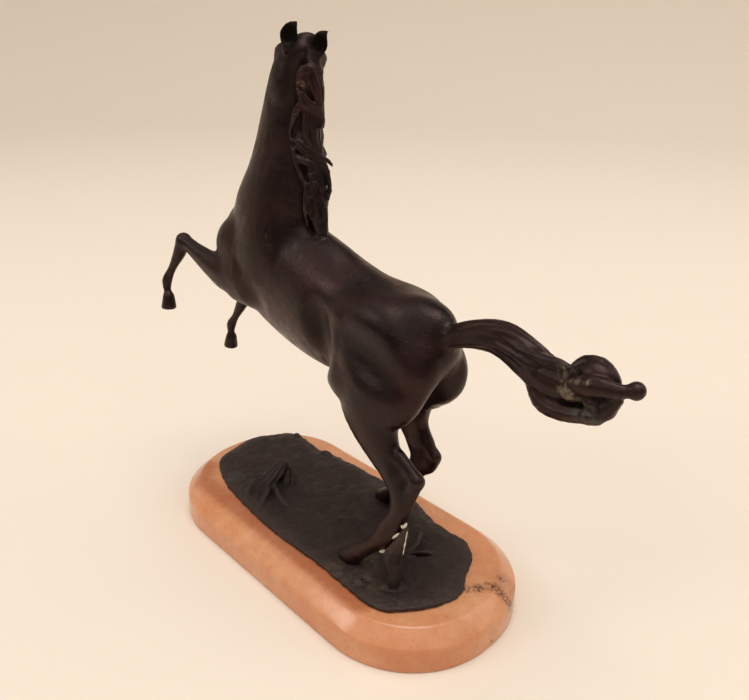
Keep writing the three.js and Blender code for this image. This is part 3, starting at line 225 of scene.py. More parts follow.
class Clay:
    """The distance to the surface of what is modelled so far, at each point of a grid."""

    def __init__(self, low, high, cell):
        self.low = np.array(low, float)
        self.cell = cell
        count = np.ceil((np.array(high) - self.low) / cell).astype(int) + 1
        self.distance = np.full(count, FAR, np.float32)

    def window(self, low, high):
        """The part of the grid that covers a box, and the coordinates of its points."""
        first = np.maximum(np.floor((np.array(low) - self.low) / self.cell), 0).astype(int)
        last = np.ceil((np.array(high) - self.low) / self.cell).astype(int) + 1
        last = np.minimum(last, self.distance.shape)
        part = tuple(slice(a, max(a, b)) for a, b in zip(first, last))
        lines = []
        for origin, run in zip(self.low, part):
            lines.append((origin + self.cell * np.arange(run.start, run.stop)).astype(np.float32))
        return part, np.meshgrid(*lines, indexing="ij", sparse=True)

    def whole(self):
        """All of the grid, and the coordinates of its points."""
        return self.window(self.low, self.low + self.cell * (np.array(self.distance.shape) - 1))

    def blend(self, part, other, soft, hollow=False):
        """Joins a distance to that part of the clay, or takes it away, rounded over where the two meet."""
        own = self.distance[part]
        if hollow:
            near = np.maximum(soft - np.abs(own + other), 0) / soft
            self.distance[part] = np.maximum(own, -other) + near * near * soft / 4
        else:
            near = np.maximum(soft - np.abs(own - other), 0) / soft
            self.distance[part] = np.minimum(own, other) - near * near * soft / 4

    def lump(self, centre, half, axes, soft, hollow=False):
        """Presses on an ellipsoid with half sizes along three axes, or presses its shape into the clay."""
        centre, half, axes = np.array(centre, float), np.array(half, float), np.array(axes, float)
        reach = np.sqrt(((axes * half[:, None]) ** 2).sum(0)) + soft + self.cell
        part, (x, y, z) = self.window(centre - reach, centre + reach)
        near, slope = 0, 0
        for axis, size in zip(axes, half):
            q = (x - centre[0]) * axis[0] + (y - centre[1]) * axis[1] + (z - centre[2]) * axis[2]
            near = near + (q / size) ** 2
            slope = slope + (q / size ** 2) ** 2
        k = np.sqrt(near) + 1e-6
        self.blend(part, k * (k - 1) / (np.sqrt(slope) + 1e-6), soft, hollow)

    def hollow(self, centre, half, axes, soft):
        self.lump(centre, half, axes, soft, hollow=True)

    def stretch(self, own, start, p, q, side, grooves=0, groove_depth=0.0):
        """Adds to own, a piece of the grid that starts at start, a limb's stretch from section p to q."""
        run = q[:3] - p[:3]
        length = np.linalg.norm(run)
        t = run / length
        s = unit(side - (side @ t) * t)
        n = np.cross(t, s)
        margin = max(p[3:].max(), q[3:].max()) * (1 + groove_depth) + 3 * self.cell
        part, (x, y, z) = self.window(np.minimum(p[:3], q[:3]) - margin, np.maximum(p[:3], q[:3]) + margin)
        dx, dy, dz = x - np.float32(p[0]), y - np.float32(p[1]), z - np.float32(p[2])
        along = dx * t[0] + dy * t[1] + dz * t[2]
        h = np.clip(along / length, 0, 1)
        wide = p[3] + (q[3] - p[3]) * h
        deep = p[4] + (q[4] - p[4]) * h
        a = (dx * s[0] + dy * s[1] + dz * s[2]) / wide
        b = (dx * n[0] + dy * n[1] + dz * n[2]) / deep
        c = (along - h * length) / np.minimum(wide, deep)
        k = np.sqrt(a * a + b * b + c * c) + 1e-6
        slope = np.sqrt((a / wide) ** 2 + (b / deep) ** 2 + (c / np.minimum(wide, deep)) ** 2) + 1e-6
        surface = 1.0
        if grooves:
            surface = 1 - groove_depth * (0.5 - 0.5 * np.cos(grooves * np.arctan2(b, a)))
        place = tuple(slice(w.start - f, w.stop - f) for w, f in zip(part, start))
        own[place] = np.minimum(own[place], k * (k - surface) / slope)

    def limb(self, stations, side, soft, grooves=0, groove_depth=0.0):
        """A smooth run through stations (x, y, z, half width, half depth), blended with what is there."""
        run = smooth_run(stations)
        reach = run[:, 3:].max() + soft + 4 * self.cell
        part, _ = self.window(run[:, :3].min(0) - reach, run[:, :3].max(0) + reach)
        start = [p.start for p in part]
        own = np.full(self.distance[part].shape, FAR, np.float32)
        for p, q in zip(run[:-1], run[1:]):
            self.stretch(own, start, p, q, np.array(side, float), grooves, groove_depth)
        self.blend(part, own, soft)

    def soften(self, passes):
        """Smooths what is modelled so far, as a thumb would, by less than a millimetre."""
        smooth(self.distance, passes)

    def mark_relief(self, obj, reach=2.5, passes=4):
        """Stores how far each point of a skin stands out: 1 on a ridge, 0.5 where it is flat, 0 in a slit."""
        near = np.clip(self.distance[::2, ::2, ::2], -reach, reach)
        smooth(near, passes)
        places = np.empty(3 * len(obj.data.vertices), np.float32)
        obj.data.vertices.foreach_get("co", places)
        cells = (places.reshape(-1, 3) / MM - self.low) / (2 * self.cell)
        relief = obj.data.attributes.new("relief", "FLOAT", "POINT")
        relief.data.foreach_set("value", (0.5 + sampled(near, cells) / (2 * reach)).astype(np.float32))

    def skin(self, name):
        """The surface of the clay as a mesh object, with its place in the mesh, in metres."""
        grid = openvdb.FloatGrid(FAR)
        grid.copyFromArray(self.distance)
        points, triangles, quads = grid.convertToPolygons()
        points = (points * self.cell + self.low) * MM
        mesh = bpy.data.meshes.new(name)
        mesh.from_pydata(points, [], [*triangles.tolist(), *quads.tolist()])
        obj = bpy.data.objects.new(name, mesh)
        bpy.context.collection.objects.link(obj)
        return obj


def smooth(grid, passes):
    """Evens out a grid of values, each pass over one cell to either side."""
    for _ in range(passes):
        for axis in range(3):
            mid = [slice(None)] * 3
            mid[axis] = slice(1, -1)
            before = [slice(None)] * 3
            before[axis] = slice(None, -2)
            after = [slice(None)] * 3
            after[axis] = slice(2, None)
            grid[tuple(mid)] = (grid[tuple(before)] + 2 * grid[tuple(mid)] + grid[tuple(after)]) / 4


def sampled(grid, cells):
    """The values of a grid at places between its points."""
    whole = np.floor(cells).astype(int)
    part = cells - whole
    value = np.zeros(len(cells))
    for corner in np.ndindex(2, 2, 2):
        weight = np.prod(np.where(corner, part, 1 - part), axis=1)
        value += weight * grid[tuple((whole + corner).T)]
    return value


def unit(v):
    v = np.array(v, float)
    return v / np.linalg.norm(v)


def turned_along(*forward):
    """Three axes: forward, sideways and the one across both."""
    f = unit(forward)
    s = unit(np.cross((0, 0, 1), f))
    return np.array([f, s, np.cross(f, s)])


LEVEL = np.eye(3)
AHEAD = (1, 0, 0)
SIDEWAYS = (0, 1, 0)
LONGEST_STEP = 3.5


def smooth_run(stations):
    """Stations on a smooth curve through the given ones, no further apart than the longest step."""
    s = np.array(stations, float)
    s = np.vstack([2 * s[0] - s[1], s, 2 * s[-1] - s[-2]])
    run = []
    for a, b, c, d in zip(s[:-3], s[1:-2], s[2:-1], s[3:]):
        steps = max(2, math.ceil(np.linalg.norm(c[:3] - b[:3]) / LONGEST_STEP))
        for t in np.arange(steps) / steps:
            run.append(0.5 * (2 * b + (c - a) * t + (2 * a - 5 * b + 4 * c - d) * t ** 2
                              + (3 * b - a - 3 * c + d) * t ** 3))
    return np.array([*run, s[-2]])


def along(leg, names, sizes):
    return [(*leg[name], *size) for name, size in zip(names, sizes)]


def body(clay):
    """Trunk and neck, and the muscles that show on both sides of them."""
    clay.limb([
        (70, 0, 150, 9, 13), (60, 0, 147, 15, 24), (42, 0, 142.2, 19, 29.2), (20, 0, 135.6, 20, 29.8),
        (-2, 0, 131, 20.8, 28), (-22, 0, 129, 19.5, 25.2), (-38, 0, 130.5, 18, 20.5),
        (-52, 0, 131.5, 15.5, 18), (-61, 0, 131, 11, 13.5),
    ], SIDEWAYS, 3)
    withers = (10, 0, 155)
    clay.lump(withers, (18, 5.5, 8), turned_along(1, 0, 0.25), 8)
    croup = (-50, 0, 138.5)
    clay.lump(croup, (20, 10, 10), turned_along(1, 0, -0.25), 6)
    clay.limb([
        (50, 0, 152, 17, 27), (43, 0.7, 168, 17.2, 26.5), (38.5, 0.5, 185, 14, 22), (37, 0, 203, 10.5, 17),
        (35, -1, 220, 8.9, 13.5), (31.5, -1, 232, 8.1, 11.2), (28, -1, 240, 7.4, 8.2),
    ], SIDEWAYS, 7)
    for s in (1, -1):
        haunch = (-34, 11.5 * s, 135)
        clay.lump(haunch, (19, 8.5, 12.5), turned_along(1, -0.1 * s, -0.1), 9)
        hip_point = (-23.5, 17.4 * s, 137.5)
        clay.lump(hip_point, (4.2, 2.4, 2.4), turned_along(1, 0, 0.9), 3)
    clay.lump(LEFT_BUTTOCK, (13.5, 9, 19), turned_along(0.2, 0, 1), 8)
    clay.lump(RIGHT_BUTTOCK, (17.6, 9.5, 19.4), turned_along(0.4, 0, 1), 5)
    for s in (1, -1):
        shoulder_blade = (44, 12 * s, 148)
        clay.lump(shoulder_blade, (14, 8, 26), turned_along(1, 0, 0.5), 6)
        breast = (64, 12 * s, 149)
        clay.lump(breast, (13, 8.5, 15), turned_along(1, 0, -0.3), 5)
        upper_arm = (52, 14 * s, 134)
        clay.lump(upper_arm, (12, 6.5, 10), turned_along(1, 0, -0.5), 5)
    chest = (70, 0, 160)
    clay.lump(chest, (10, 9, 13), turned_along(0.4, 0, 1), 6)
    sheath = (-4, 0, 104.5)
    clay.lump(sheath, (9, 3.5, 4), turned_along(1, 0, 0.1), 3)


def hollows(clay):
    """The hollow of each flank and the gap between the thighs."""
    for s in (1, -1):
        flank = (-10, 24.5 * s, 131)
        clay.hollow(flank, (15, 7.5, 8), turned_along(0.3, 0, 1), 5)
        behind_elbow = (38, 22.5 * s, 124)
        clay.hollow(behind_elbow, (10, 3, 5), turned_along(0.2, 0, 1), 6)
        under_hip = (-47, 26 * s, 127)
        clay.hollow(under_hip, (20, 5, 6), turned_along(1, 0, 0.33), 9)
    between_thighs = (-46, 0, 96)
    clay.hollow(between_thighs, (18, 7.5, 14), turned_along(1, 0, 0.2), 5)


def hoof(clay, coronet, down, sole, sole_normal, toe, size):
    """A hoof: a cone that widens from the coronet and is cut flat at its sole."""
    axis = unit(down)
    front = unit(np.array(toe) - (np.array(toe) @ axis) * axis)
    side = np.cross(axis, front)
    sole, sole_normal = np.array(sole, float), np.array(sole_normal, float)
    length = abs((sole - coronet) @ sole_normal / (axis @ sole_normal))
    start = np.array([*(coronet - 0.6 * axis), size * 0.76, size * 0.8])
    end = np.array([*(coronet + (length + 3) * axis + 1.2 * front), size * 1.06, size * 1.32])
    reach = size * 1.6 + 2
    low, high = np.minimum(start, end)[:3] - reach, np.maximum(start, end)[:3] + reach
    part, (x, y, z) = clay.window(low, high)
    own = np.full(clay.distance[part].shape, FAR, np.float32)
    clay.stretch(own, [p.start for p in part], start, end, side)
    below = (x - sole[0]) * sole_normal[0] + (y - sole[1]) * sole_normal[1] + (z - sole[2]) * sole_normal[2]
    clay.blend(part, np.maximum(own, below), 0.8)


def hind_leg(clay, leg):
    clay.limb(along(leg, ("thigh", "ham", "flesh", "gaskin", "shank", "hock"),
                    ((11, 25), (10.5, 24), (9, 17.5), (6.8, 12), (5, 8.6), (4.4, 6.8))), SIDEWAYS, 5)
    clay.lump(leg["stifle"], (7, 6, 9), turned_along(0.2, 0, 1), 5)
    fold_top = (-26, 16 * leg["side"], 138, 2, 2.4)
    fold_middle = (leg["stifle"][0] + 4, 16.5 * leg["side"], 125, 2.4, 3)
    clay.limb([fold_top, fold_middle, (*leg["stifle"], 3, 4)], SIDEWAYS, 4)
    clay.limb(along(leg, ("tendon", "point"), ((2.8, 3.2), (2.9, 3.1))), SIDEWAYS, 3)
    clay.limb(along(leg, ("point", "heel", "cannon"), ((2.9, 3.2), (3, 3.4), (2.6, 3))), SIDEWAYS, 2.5)
    clay.limb(along(leg, ("hock", "below", "cannon", "fetlock", "pastern", "coronet"),
                    ((4.8, 6.6), (4.4, 5.6), (3.9, 4.7), (4.3, 5.3), (3.3, 3.7), (3.3, 3.5))), SIDEWAYS, 2.5)
    coronet = np.array(leg["coronet"], float)
    sole = (coronet[0], coronet[1], SOLE_HEIGHT)
    down = (0.62, 0.02 * leg["side"], -0.78)
    toe = (1, 0.05 * leg["side"], 0)
    hoof(clay, coronet, down, sole, (0, 0, -1), toe, HIND_HOOF_SIZE)


def fore_leg(clay, leg):
    clay.limb(along(leg, ("shoulder", "arm", "forearm", "wrist", "knee"),
                    ((8, 12), (6.8, 9), (4.8, 6.2), (3.5, 4.1), (3.9, 4.4))), SIDEWAYS, 4)
    clay.lump(leg["elbow"], (5, 4, 4.5), LEVEL, 3)
    clay.limb(along(leg, ("knee", "shin", "cannon", "fetlock", "pastern", "coronet"),
                    ((4, 4.3), (3.3, 3.6), (2.1, 2.3), (2.7, 3.1), (1.8, 2), (2.3, 2.5))), SIDEWAYS, 1.5)
    coronet = np.array(leg["coronet"], float)
    down = unit(leg["down"])
    hoof(clay, coronet, down, coronet + down * FORE_HOOF_HEIGHT, down, (1, 0.1, 0.1), FORE_HOOF_SIZE)


def head_axes():
    """The head's own axes: to its left, towards the muzzle and out of the forehead."""
    ahead = np.array((math.cos(HEAD_TURN), math.sin(HEAD_TURN), 0))
    left = np.array((-math.sin(HEAD_TURN), math.cos(HEAD_TURN), 0))
    up = np.array((0, 0, 1.0))
    across = left * math.cos(HEAD_TILT) + up * math.sin(HEAD_TILT)
    down = left * math.sin(HEAD_TILT) - up * math.cos(HEAD_TILT)
    nose = ahead * math.cos(HEAD_NOD) + down * math.sin(HEAD_NOD)
    brow = ahead * math.sin(HEAD_NOD) - down * math.cos(HEAD_NOD)
    return across, nose, brow


def head(clay):
    across, nose, brow = head_axes()
    axes = (nose, across, brow)

    def at(n, b, a):
        return POLL + nose * n + brow * b + across * a

    def line(points, soft):
        clay.limb([(*at(n, b, a), *size) for n, b, a, *size in points], across, soft)

    # Along the nose, below the face, to the side, half width and half depth, from the poll to the lips.
    line([(2, -5, 0, 5, 5.2), (9, -7, 0, 7.8, 8.2), (17, -9, 0, 8.8, 10.4), (26, -8.7, 0, 7.6, 9.6),
          (36, -7.8, 0, 5.8, 7.4), (46, -7.2, 0, 5, 6.4), (54, -7.4, 0, 5.2, 6), (58, -7.8, 0, 4.4, 5)], 4)
    # The flat of the forehead, which narrows into the bridge of the nose.
    line([(4, -3.6, 0, 6.8, 3), (12, -2.6, 0, 8.6, 3), (24, -3.2, 0, 5.8, 2.8), (38, -4, 0, 3.6, 2.6),
          (50, -4.6, 0, 3, 2.4)], 3)
    for s in (1, -1):
        jowl = at(15.5, -12.5, 5.8 * s + 0.8)
        clay.lump(jowl, (9.5, 4.7, 8.5), axes, 3)
        cheek_bone = [(21, -7.4, 9 * s, 1.4, 1.3), (30, -8, 6.9 * s, 1, 1), (38, -8.2, 5.6 * s, 0.6, 0.6)]
        line(cheek_bone, 1.6)
        brow_ridge = [(4.5, -2.4, 8 * s, 1.8, 1.8), (8.5, -1.4, 9.4 * s, 2.2, 2.1),
                      (14, -2.6, 9 * s, 1.7, 1.5), (19, -5, 7.9 * s, 0.7, 0.7)]
        line(brow_ridge, 1.4)
        eye = at(13.2, -4.6, 8.9 * s)
        clay.lump(eye, (2.5, 1.9, 2), axes, 0.3)
        lower_lid = [(10.4, -5.4, 8.6 * s, 0.6, 0.6), (13.6, -6.8, 9.1 * s, 0.6, 0.6),
                     (17, -5.6, 8.5 * s, 0.5, 0.5)]
        line(lower_lid, 0.8)
        under_cheek = at(33, -11.4, 6.8 * s)
        clay.hollow(under_cheek, (9, 1.6, 2.4), axes, 3)
        nostril_rim = [(50.6, -6.2, 4.5 * s, 0.9, 0.9), (53, -4.3, 4.6 * s, 1.2, 1.2),
                       (56, -5.2, 4.4 * s, 1.2, 1.1), (56.4, -7.6, 4.2 * s, 0.9, 0.9)]
        line(nostril_rim, 1.2)
        nostril = at(53.8, -6.2, 5.4 * s)
        clay.hollow(nostril, (2, 1.5, 1.4), axes, 0.6)
    between_ears = POLL + MANE_ACROSS * -1.6
    clay.lump(between_ears, (3.2, 4.4, 2.6), turned_along(*-MANE_OUT + (0, 0, 0.1)), 2.5)
    ear(clay, POLL + MANE_ACROSS * 5.6 + MANE_OUT * 5.4 + (0, 0, -3.2))
    ear(clay, POLL + MANE_ACROSS * -7.2 + MANE_OUT * 5 + (0, 0, -6.5))
    upper_lip = at(58.2, -8.6, 0)
    clay.lump(upper_lip, (3.4, 4.4, 3.4), axes, 1.5)
    chin = at(54.5, -13.4, 0)
    clay.lump(chin, (4.6, 3.7, 2.5), axes, 1.6)
    mouth = at(57.5, -11.4, 0)
    clay.hollow(mouth, (6.5, 6, 0.55), axes, 0.7)


def ear(clay, root):
    """An ear laid back and to the left: a pointed leaf that is hollow behind and leans to the right."""
    leaf = [(-1.8, 1.6, 1.4, 2), (1.6, 0.5, 2.9, 2), (4.4, 0, 3.8, 1.6), (6.8, -0.9, 3.1, 1.2),
            (8.4, -2.2, 1.9, 0.8), (9.4, -3.5, 0.7, 0.5)]
    stations = []
    for height, off, wide, deep in leaf:
        stations.append((*(root + MANE_ACROSS * off + (0, 0, height)), wide, deep))
    clay.limb(stations, MANE_ACROSS, 1)
    bowl = root + MANE_OUT * 1.5 + MANE_ACROSS * -0.3 + (0, 0, 4.6)
    clay.hollow(bowl, (2.8, 1.5, 3.8), (MANE_ACROSS, MANE_OUT, (0, 0, 1)), 0.4)


def crest_at(t):
    u = t * (len(CREST) - 1)
    i = min(int(u), len(CREST) - 2)
    a, b = np.array(CREST[i]), np.array(CREST[i + 1])
    return a + (b - a) * (u - i)


def mane(clay):
    """The mane falls to the right of the crest in layers of waving locks; the largest lie over the crest."""
    for layer, kind in enumerate(MANE_LAYERS):
        for i in range(kind["locks"]):
            t = 0.13 + 0.8 * (i + 0.5 * (layer % 2)) / kind["locks"]
            root = crest_at(t)
            reach = kind["length"] * (1 + 0.27 * math.sin(i * 2.1 + layer * 1.7))
            stations = []
            for step in range(LOCK_STEPS + 1):
                f = step / LOCK_STEPS
                out = 1.5 + (5 + 2 * t) * min(1, f * 2.2) + kind["lift"] + 1.2 * math.sin(f * math.pi)
                wave = math.sin(f * 5.6 + i * 1.3 + layer * 2) * 2.4 * math.sqrt(f)
                ahead = root[0] + (7 - 3 * t) * f + wave - 0.5
                place = np.array((ahead, root[1] - out, root[2] + 1.5 - reach * f))
                thick = kind["thick"] * (1 - 0.72 * f ** 2)
                place = place + MANE_ACROSS * max(0, mane_edge(place[2]) + thick - place @ MANE_ACROSS)
                stations.append((*place, thick, thick * 1.1))
            clay.limb(stations, (1, 0, 0.3), 0.5, grooves=5, groove_depth=0.25)
    clay.limb([(x, y, height, wide, MANE_DEPTH) for height, x, y, wide in MANE_BACK], MANE_ACROSS, 1.5,
              grooves=16, groove_depth=0.06)
    for height, across in ((236.5, 3.4), (213, 3.8), (193.5, 4.2)):
        clay.hollow(back_of_mane(height, across), (1.8, 1.6, 5), (MANE_ACROSS, MANE_OUT, (0, 0, 1)), 0.8)
    for thick, places in BACK_LOCKS:
        last = len(places) - 1
        lift = 1.2 if thick < 1.4 else 0
        stations = []
        for i, (height, across) in enumerate(places):
            size = thick * (0.5 + 0.5 * math.sin(math.pi * min(1, 0.15 + 0.9 * i / last)))
            stations.append((*(back_of_mane(height, across) + MANE_OUT * lift), size * 1.15, size))
        clay.limb(stations, MANE_ACROSS, 0.5, grooves=6, groove_depth=0.3)


def mane_edge(height):
    heights, edges = np.array(MANE_EDGE[::-1]).T
    return np.interp(height, heights, edges)


def back_of_mane(height, across):
    """A point on the mane over the crest, at a height and a distance from its middle."""
    heights, x, y, wide = np.array(MANE_BACK[::-1]).T
    middle = np.array((np.interp(height, heights, x), np.interp(height, heights, y), height))
    edge = np.interp(height, heights, wide) + 1.5
    out = MANE_DEPTH * math.sqrt(max(0, 1 - (across / edge) ** 2))
    return middle + MANE_ACROSS * across + MANE_OUT * out


def tail(clay):
    """A core with strands wound along it, which ends in curls and a knob."""
    clay.limb(TAIL, SIDEWAYS, 3, grooves=13, groove_depth=0.05)
    bare = TAIL[1:7]
    for i in range(TAIL_STRANDS):
        strand = []
        for step, (x, y, z, wide, deep) in enumerate(bare):
            turn = 2 * math.pi * i / TAIL_STRANDS + 0.3 + 0.22 * step
            thick = 0.9 + 0.06 * step
            strand.append((x, y + math.cos(turn) * wide * 0.9, z + math.sin(turn) * deep * 0.9, thick, thick))
        clay.limb(strand, SIDEWAYS, 1.6)
    dome = (-133.5, 0, 142.5)
    clay.lump(dome, (8.2, 5.5, 6.8), LEVEL, 1.5)
    for soft, grooves, stations in (TAIL_LIP, TAIL_LOBE, TAIL_CURL):
        clay.limb(stations, SIDEWAYS, soft, grooves=grooves, groove_depth=0.12)
    recess = (-128.5, 5, 145)
    clay.hollow(recess, (3, 2.4, 1.5), turned_along(1, 0, 0.2), 0.6)
    slit = (-116.5, 7.5, 142)
    clay.hollow(slit, (5.5, 2.6, 0.8), turned_along(-1, 0, 0.45), 0.5)
    soft, grooves, stations = TAIL_CROSSING
    clay.limb(stations, SIDEWAYS, soft, grooves=grooves, groove_depth=0.08)
    for place, half in (((-127, 4.6, 136.4), (3.4, 2.6, 2.8)), ((-135.6, 3, 135.4), (3.6, 3, 2.6)),
                        ((-139.6, 1.5, 134), (4.2, 3.6, 4)), ((-134.6, 4, 130.4), (2.6, 2.4, 2.2))):
        clay.lump(place, half, LEVEL, 0.6)
    clay.lump(TAIL_KNOB, (TAIL_KNOB_RADIUS,) * 3, LEVEL, 0.8)


def horse_clay(cell):
    clay = Clay(*HORSE_GRID, cell)
    body(clay)
    for leg in HIND_LEGS.values():
        hind_leg(clay, leg)
    for leg in FORE_LEGS.values():
        fore_leg(clay, leg)
    hollows(clay)
    clay.soften(2)
    tail(clay)
    head(clay)
    mane(clay)
    return clay


def outside_outline(outline, x, y):
    """How far each point is outside a closed outline, negative inside it."""
    nearest = np.full(np.broadcast(x, y).shape, np.inf)
    inside = np.zeros(nearest.shape, bool)
    for a, b in zip(outline, np.roll(outline, -1, 0)):
        ex, ey = b - a
        t = np.clip(((x - a[0]) * ex + (y - a[1]) * ey) / (ex * ex + ey * ey), 0, 1)
        nearest = np.minimum(nearest, np.hypot(x - a[0] - t * ex, y - a[1] - t * ey))
        if ey:
            inside ^= ((a[1] > y) != (b[1] > y)) & (x < a[0] + (y - a[1]) / ey * ex)
    return np.where(inside, -nearest, nearest)


def rough(x, y, size, seed):
    """Uneven heights of about plus or minus one over a plane, with bumps of that size in millimetres."""
    fading = 0.8
    finer = 2.0
    octaves = 4
    heights = []
    for a in x.ravel():
        row = [noise.fractal(Vector((a / size, b / size, seed)), fading, finer, octaves) for b in y.ravel()]
        heights.append(row)
    return np.array(heights, np.float32)[:, :, None]


def plate(clay):
    """The thin plate, with a bumpy edge that is rounded over, a rippled top, and calm round the hooves."""
    ring = GROUND_EDGE + GROUND_EDGE[:3]
    closed = smooth_run([(*p, 0, 1, 1) for p in ring])[:, :2]
    first = np.argmin(np.hypot(*(closed - GROUND_EDGE[1]).T))
    again = len(closed) - 1 - np.argmin(np.hypot(*(closed[::-1] - GROUND_EDGE[1]).T))
    outline = closed[first:again]
    everywhere, (x, y, z) = clay.whole()
    out = outside_outline(outline, x[:, :, 0], y[:, :, 0])[:, :, None] + 0.5 * rough(x, y, 5, 3.0)
    rim = 1.4 * np.maximum(0, 1 + out / 8) ** 2
    ripple = 0.35 + 0.35 * np.sin(x / 6.5 + 1) * np.sin(y / 5.2 + 0.6) + 0.2 * np.sin(x / 3.4 + y / 4.1)
    ripple = ripple + 0.35 * rough(x, y, 7, 0.0) + 0.16 * rough(x, y, 2.2, 9.0)
    hooves = [leg["coronet"] for leg in HIND_LEGS.values()]
    hoof_near = np.min([np.hypot(x - hoof[0] - 6, y - hoof[1]) for hoof in hooves], 0)
    calm = np.clip((hoof_near - 10) / 6, 0, 1)
    top = GROUND_TOP - rim - np.maximum(ripple, 0) * calm
    clay.distance[everywhere] = np.maximum(np.maximum(out, z - top), GROUND_UNDER - z)


def stump(clay):
    """The broken stump near the front, with its roots and the hollow under it."""
    trunk = [(42, 19, 19.5, 6.8, 5.2), (41, 13.5, 23, 6.2, 5.2), (40.6, 8.6, 27.4, 5, 4.6),
             (41, 4.6, 31, 3.4, 3.2)]
    clay.limb(trunk, AHEAD, 1.5, grooves=11, groove_depth=0.14)
    for root in (
        [(37, 2.6, 30, 1.4, 1.4), (35.4, 2.8, 26, 1.7, 1.7), (33.4, 4.4, 21.4, 1.9, 1.9)],
        [(37, 12.5, 23, 1.6, 1.4), (31, 16.4, 22.6, 1.6, 1.3), (25, 18.4, 22.2, 1.3, 1.2),
         (19, 18.8, 21.6, 1, 1)],
        [(44, 15, 23.5, 2.4, 2.4), (46.5, 20.5, 22.4, 2, 1.8), (43, 26, 21.8, 1.8, 1.5),
         (38, 31, 21, 1.4, 1.2)],
        [(39, 15, 23, 2.4, 2.4), (34.5, 20.5, 22.4, 2, 1.6), (31, 25.5, 21.8, 1.6, 1.3),
         (27, 30.5, 20.8, 1.3, 1.1)],
        [(45, 9, 23, 2.2, 2), (51, 13, 21.9, 1.5, 1.2), (57, 18, 21.2, 1.1, 0.9)],
    ):
        clay.limb(root, AHEAD, 1.2, grooves=5, groove_depth=0.16)
    for place, half in (((46.8, 21, 23), (2, 2.2, 1.4)), ((74.6, -30.4, 21.4), (2, 1.8, 1.5)),
                        ((46, -30.5, 20.8), (4, 2.4, 1.7))):
        clay.lump(place, half, LEVEL, 1)
    under_stump = (32.5, 10.5, 24.2)
    clay.hollow(under_stump, (4.6, 4, 3), turned_along(0.5, -1, 0), 0.8)
    broken_end = (37, -0.6, 31)
    clay.hollow(broken_end, (3.4, 2.6, 5), turned_along(0.7, -0.7, 0), 0.6)


def prop(clay):
    """The pointed prop that reaches up to the left hind leg, with lumps round its foot."""
    clay.limb([
        (-62.2, 20.8, 19.5, 3.8, 4), (-62.4, 20.8, 24, 3.4, 3.6), (-62.4, 20.8, 29.5, 3.2, 3.4),
        (-61.8, 20.8, 34, 4.1, 3.6), (-61.9, 20.9, 38, 4.3, 3.5), (-64.2, 20.6, 44, 3.5, 3.1),
        (-66.8, 20.2, 50.5, 2.3, 2.3), (-68.6, 19.9, 56, 0.9, 1),
    ], MANE_ACROSS, 1.5, grooves=7, groove_depth=0.06)
    for place, half in (((-50.5, 29.8, 21.8), (3, 2.4, 1.8)), ((-60.8, 23.4, 21.6), (2.6, 2.4, 1.6)),
                        ((-66, 19, 21.6), (2.4, 2.4, 1.8))):
        clay.lump(place, half, LEVEL, 1)


def slit_and_pit(clay):
    """A low crescent, a slit with a raised rim and a pit, behind the hooves."""
    crescent = [(-45, -15.5, 22.2, 1, 1), (-47.8, -11.5, 22.9, 1.3, 1.2), (-50.6, -6.4, 22.9, 1.3, 1.2),
                (-50.8, -1.5, 22.2, 1, 1)]
    clay.limb(crescent, AHEAD, 1.2)
    slit_rim = [(-52.8, 2.6, 21.9, 0.8, 0.8), (-55.2, -3.6, 22.3, 1.3, 0.9), (-57.4, -8, 21.9, 0.8, 0.8)]
    clay.limb(slit_rim, AHEAD, 1.5)
    slit = (-56.4, -3.8, 21.6)
    clay.hollow(slit, (6.4, 1, 2), turned_along(0.62, 0.78, 0), 0.3)
    pit = (-52.7, 27, 22.6)
    clay.hollow(pit, (3.4, 2.2, 2), turned_along(0.66, 0.75, 0), 0.5)


def keep_off_leg(clay):
    """Takes the prop away where it would touch the left hind leg, and cuts the ground flat below."""
    leg = Clay(*GROUND_GRID, clay.cell)
    hind_leg(leg, HIND_LEGS["left"])
    everywhere, (x, y, z) = clay.whole()
    apart = np.where(z > PROP_FREE_FROM, GLUE_GAP - leg.distance, -FAR)
    clay.distance[everywhere] = np.maximum(np.maximum(clay.distance, apart), GROUND_UNDER - z)


def ground_clay(cell):
    """A thin uneven plate with a broken stump, a prop for the left hind leg, a slit and a pit."""
    clay = Clay(*GROUND_GRID, cell)
    plate(clay)
    stump(clay)
    prop(clay)
    slit_and_pit(clay)
    keep_off_leg(clay)
    return clay


def deselect():
    if bpy.context.object and bpy.context.object.mode != "OBJECT":
        bpy.ops.object.mode_set(mode="OBJECT")
    bpy.ops.object.select_all(action="DESELECT")


def take_up(obj):
    """Makes obj the only selected object and the active one."""
    deselect()
    obj.select_set(True)
    bpy.context.view_layer.objects.active = obj


def modify(obj, kind, **settings):
    """Adds a modifier with its settings and applies it."""
    take_up(obj)
    bpy.ops.object.modifier_add(type=kind)
    modifier = obj.modifiers[-1]
    for name, value in settings.items():
        setattr(modifier, name, value)
    bpy.ops.object.modifier_apply(modifier=modifier.name)


def settle(obj, material, slot, *nodes):
    """Gives a finished piece its material and its place in the frame."""
    obj.data.materials.clear()
    obj.data.materials.append(material)
    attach(obj, "root")
    if nodes:
        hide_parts(*nodes)


def grain_texture(name, size, depth):
    texture = bpy.data.textures.new(name, "CLOUDS")
    texture.noise_scale = size * MM
    texture.noise_depth = depth
    return texture


def add(tree, kind, settings=None, inputs=None):
    """Adds a shader node with its settings, and with its inputs set to values or linked to outputs."""
    made = tree.nodes.new("ShaderNode" + kind)
    for name, value in (settings or {}).items():
        setattr(made, name, value)
    for name, value in (inputs or {}).items():
        if isinstance(value, bpy.types.NodeSocket):
            tree.links.new(value, made.inputs[name])
        else:
            made.inputs[name].default_value = value
    return made


MIX_A, MIX_B, MIX_RESULT = 6, 7, 2


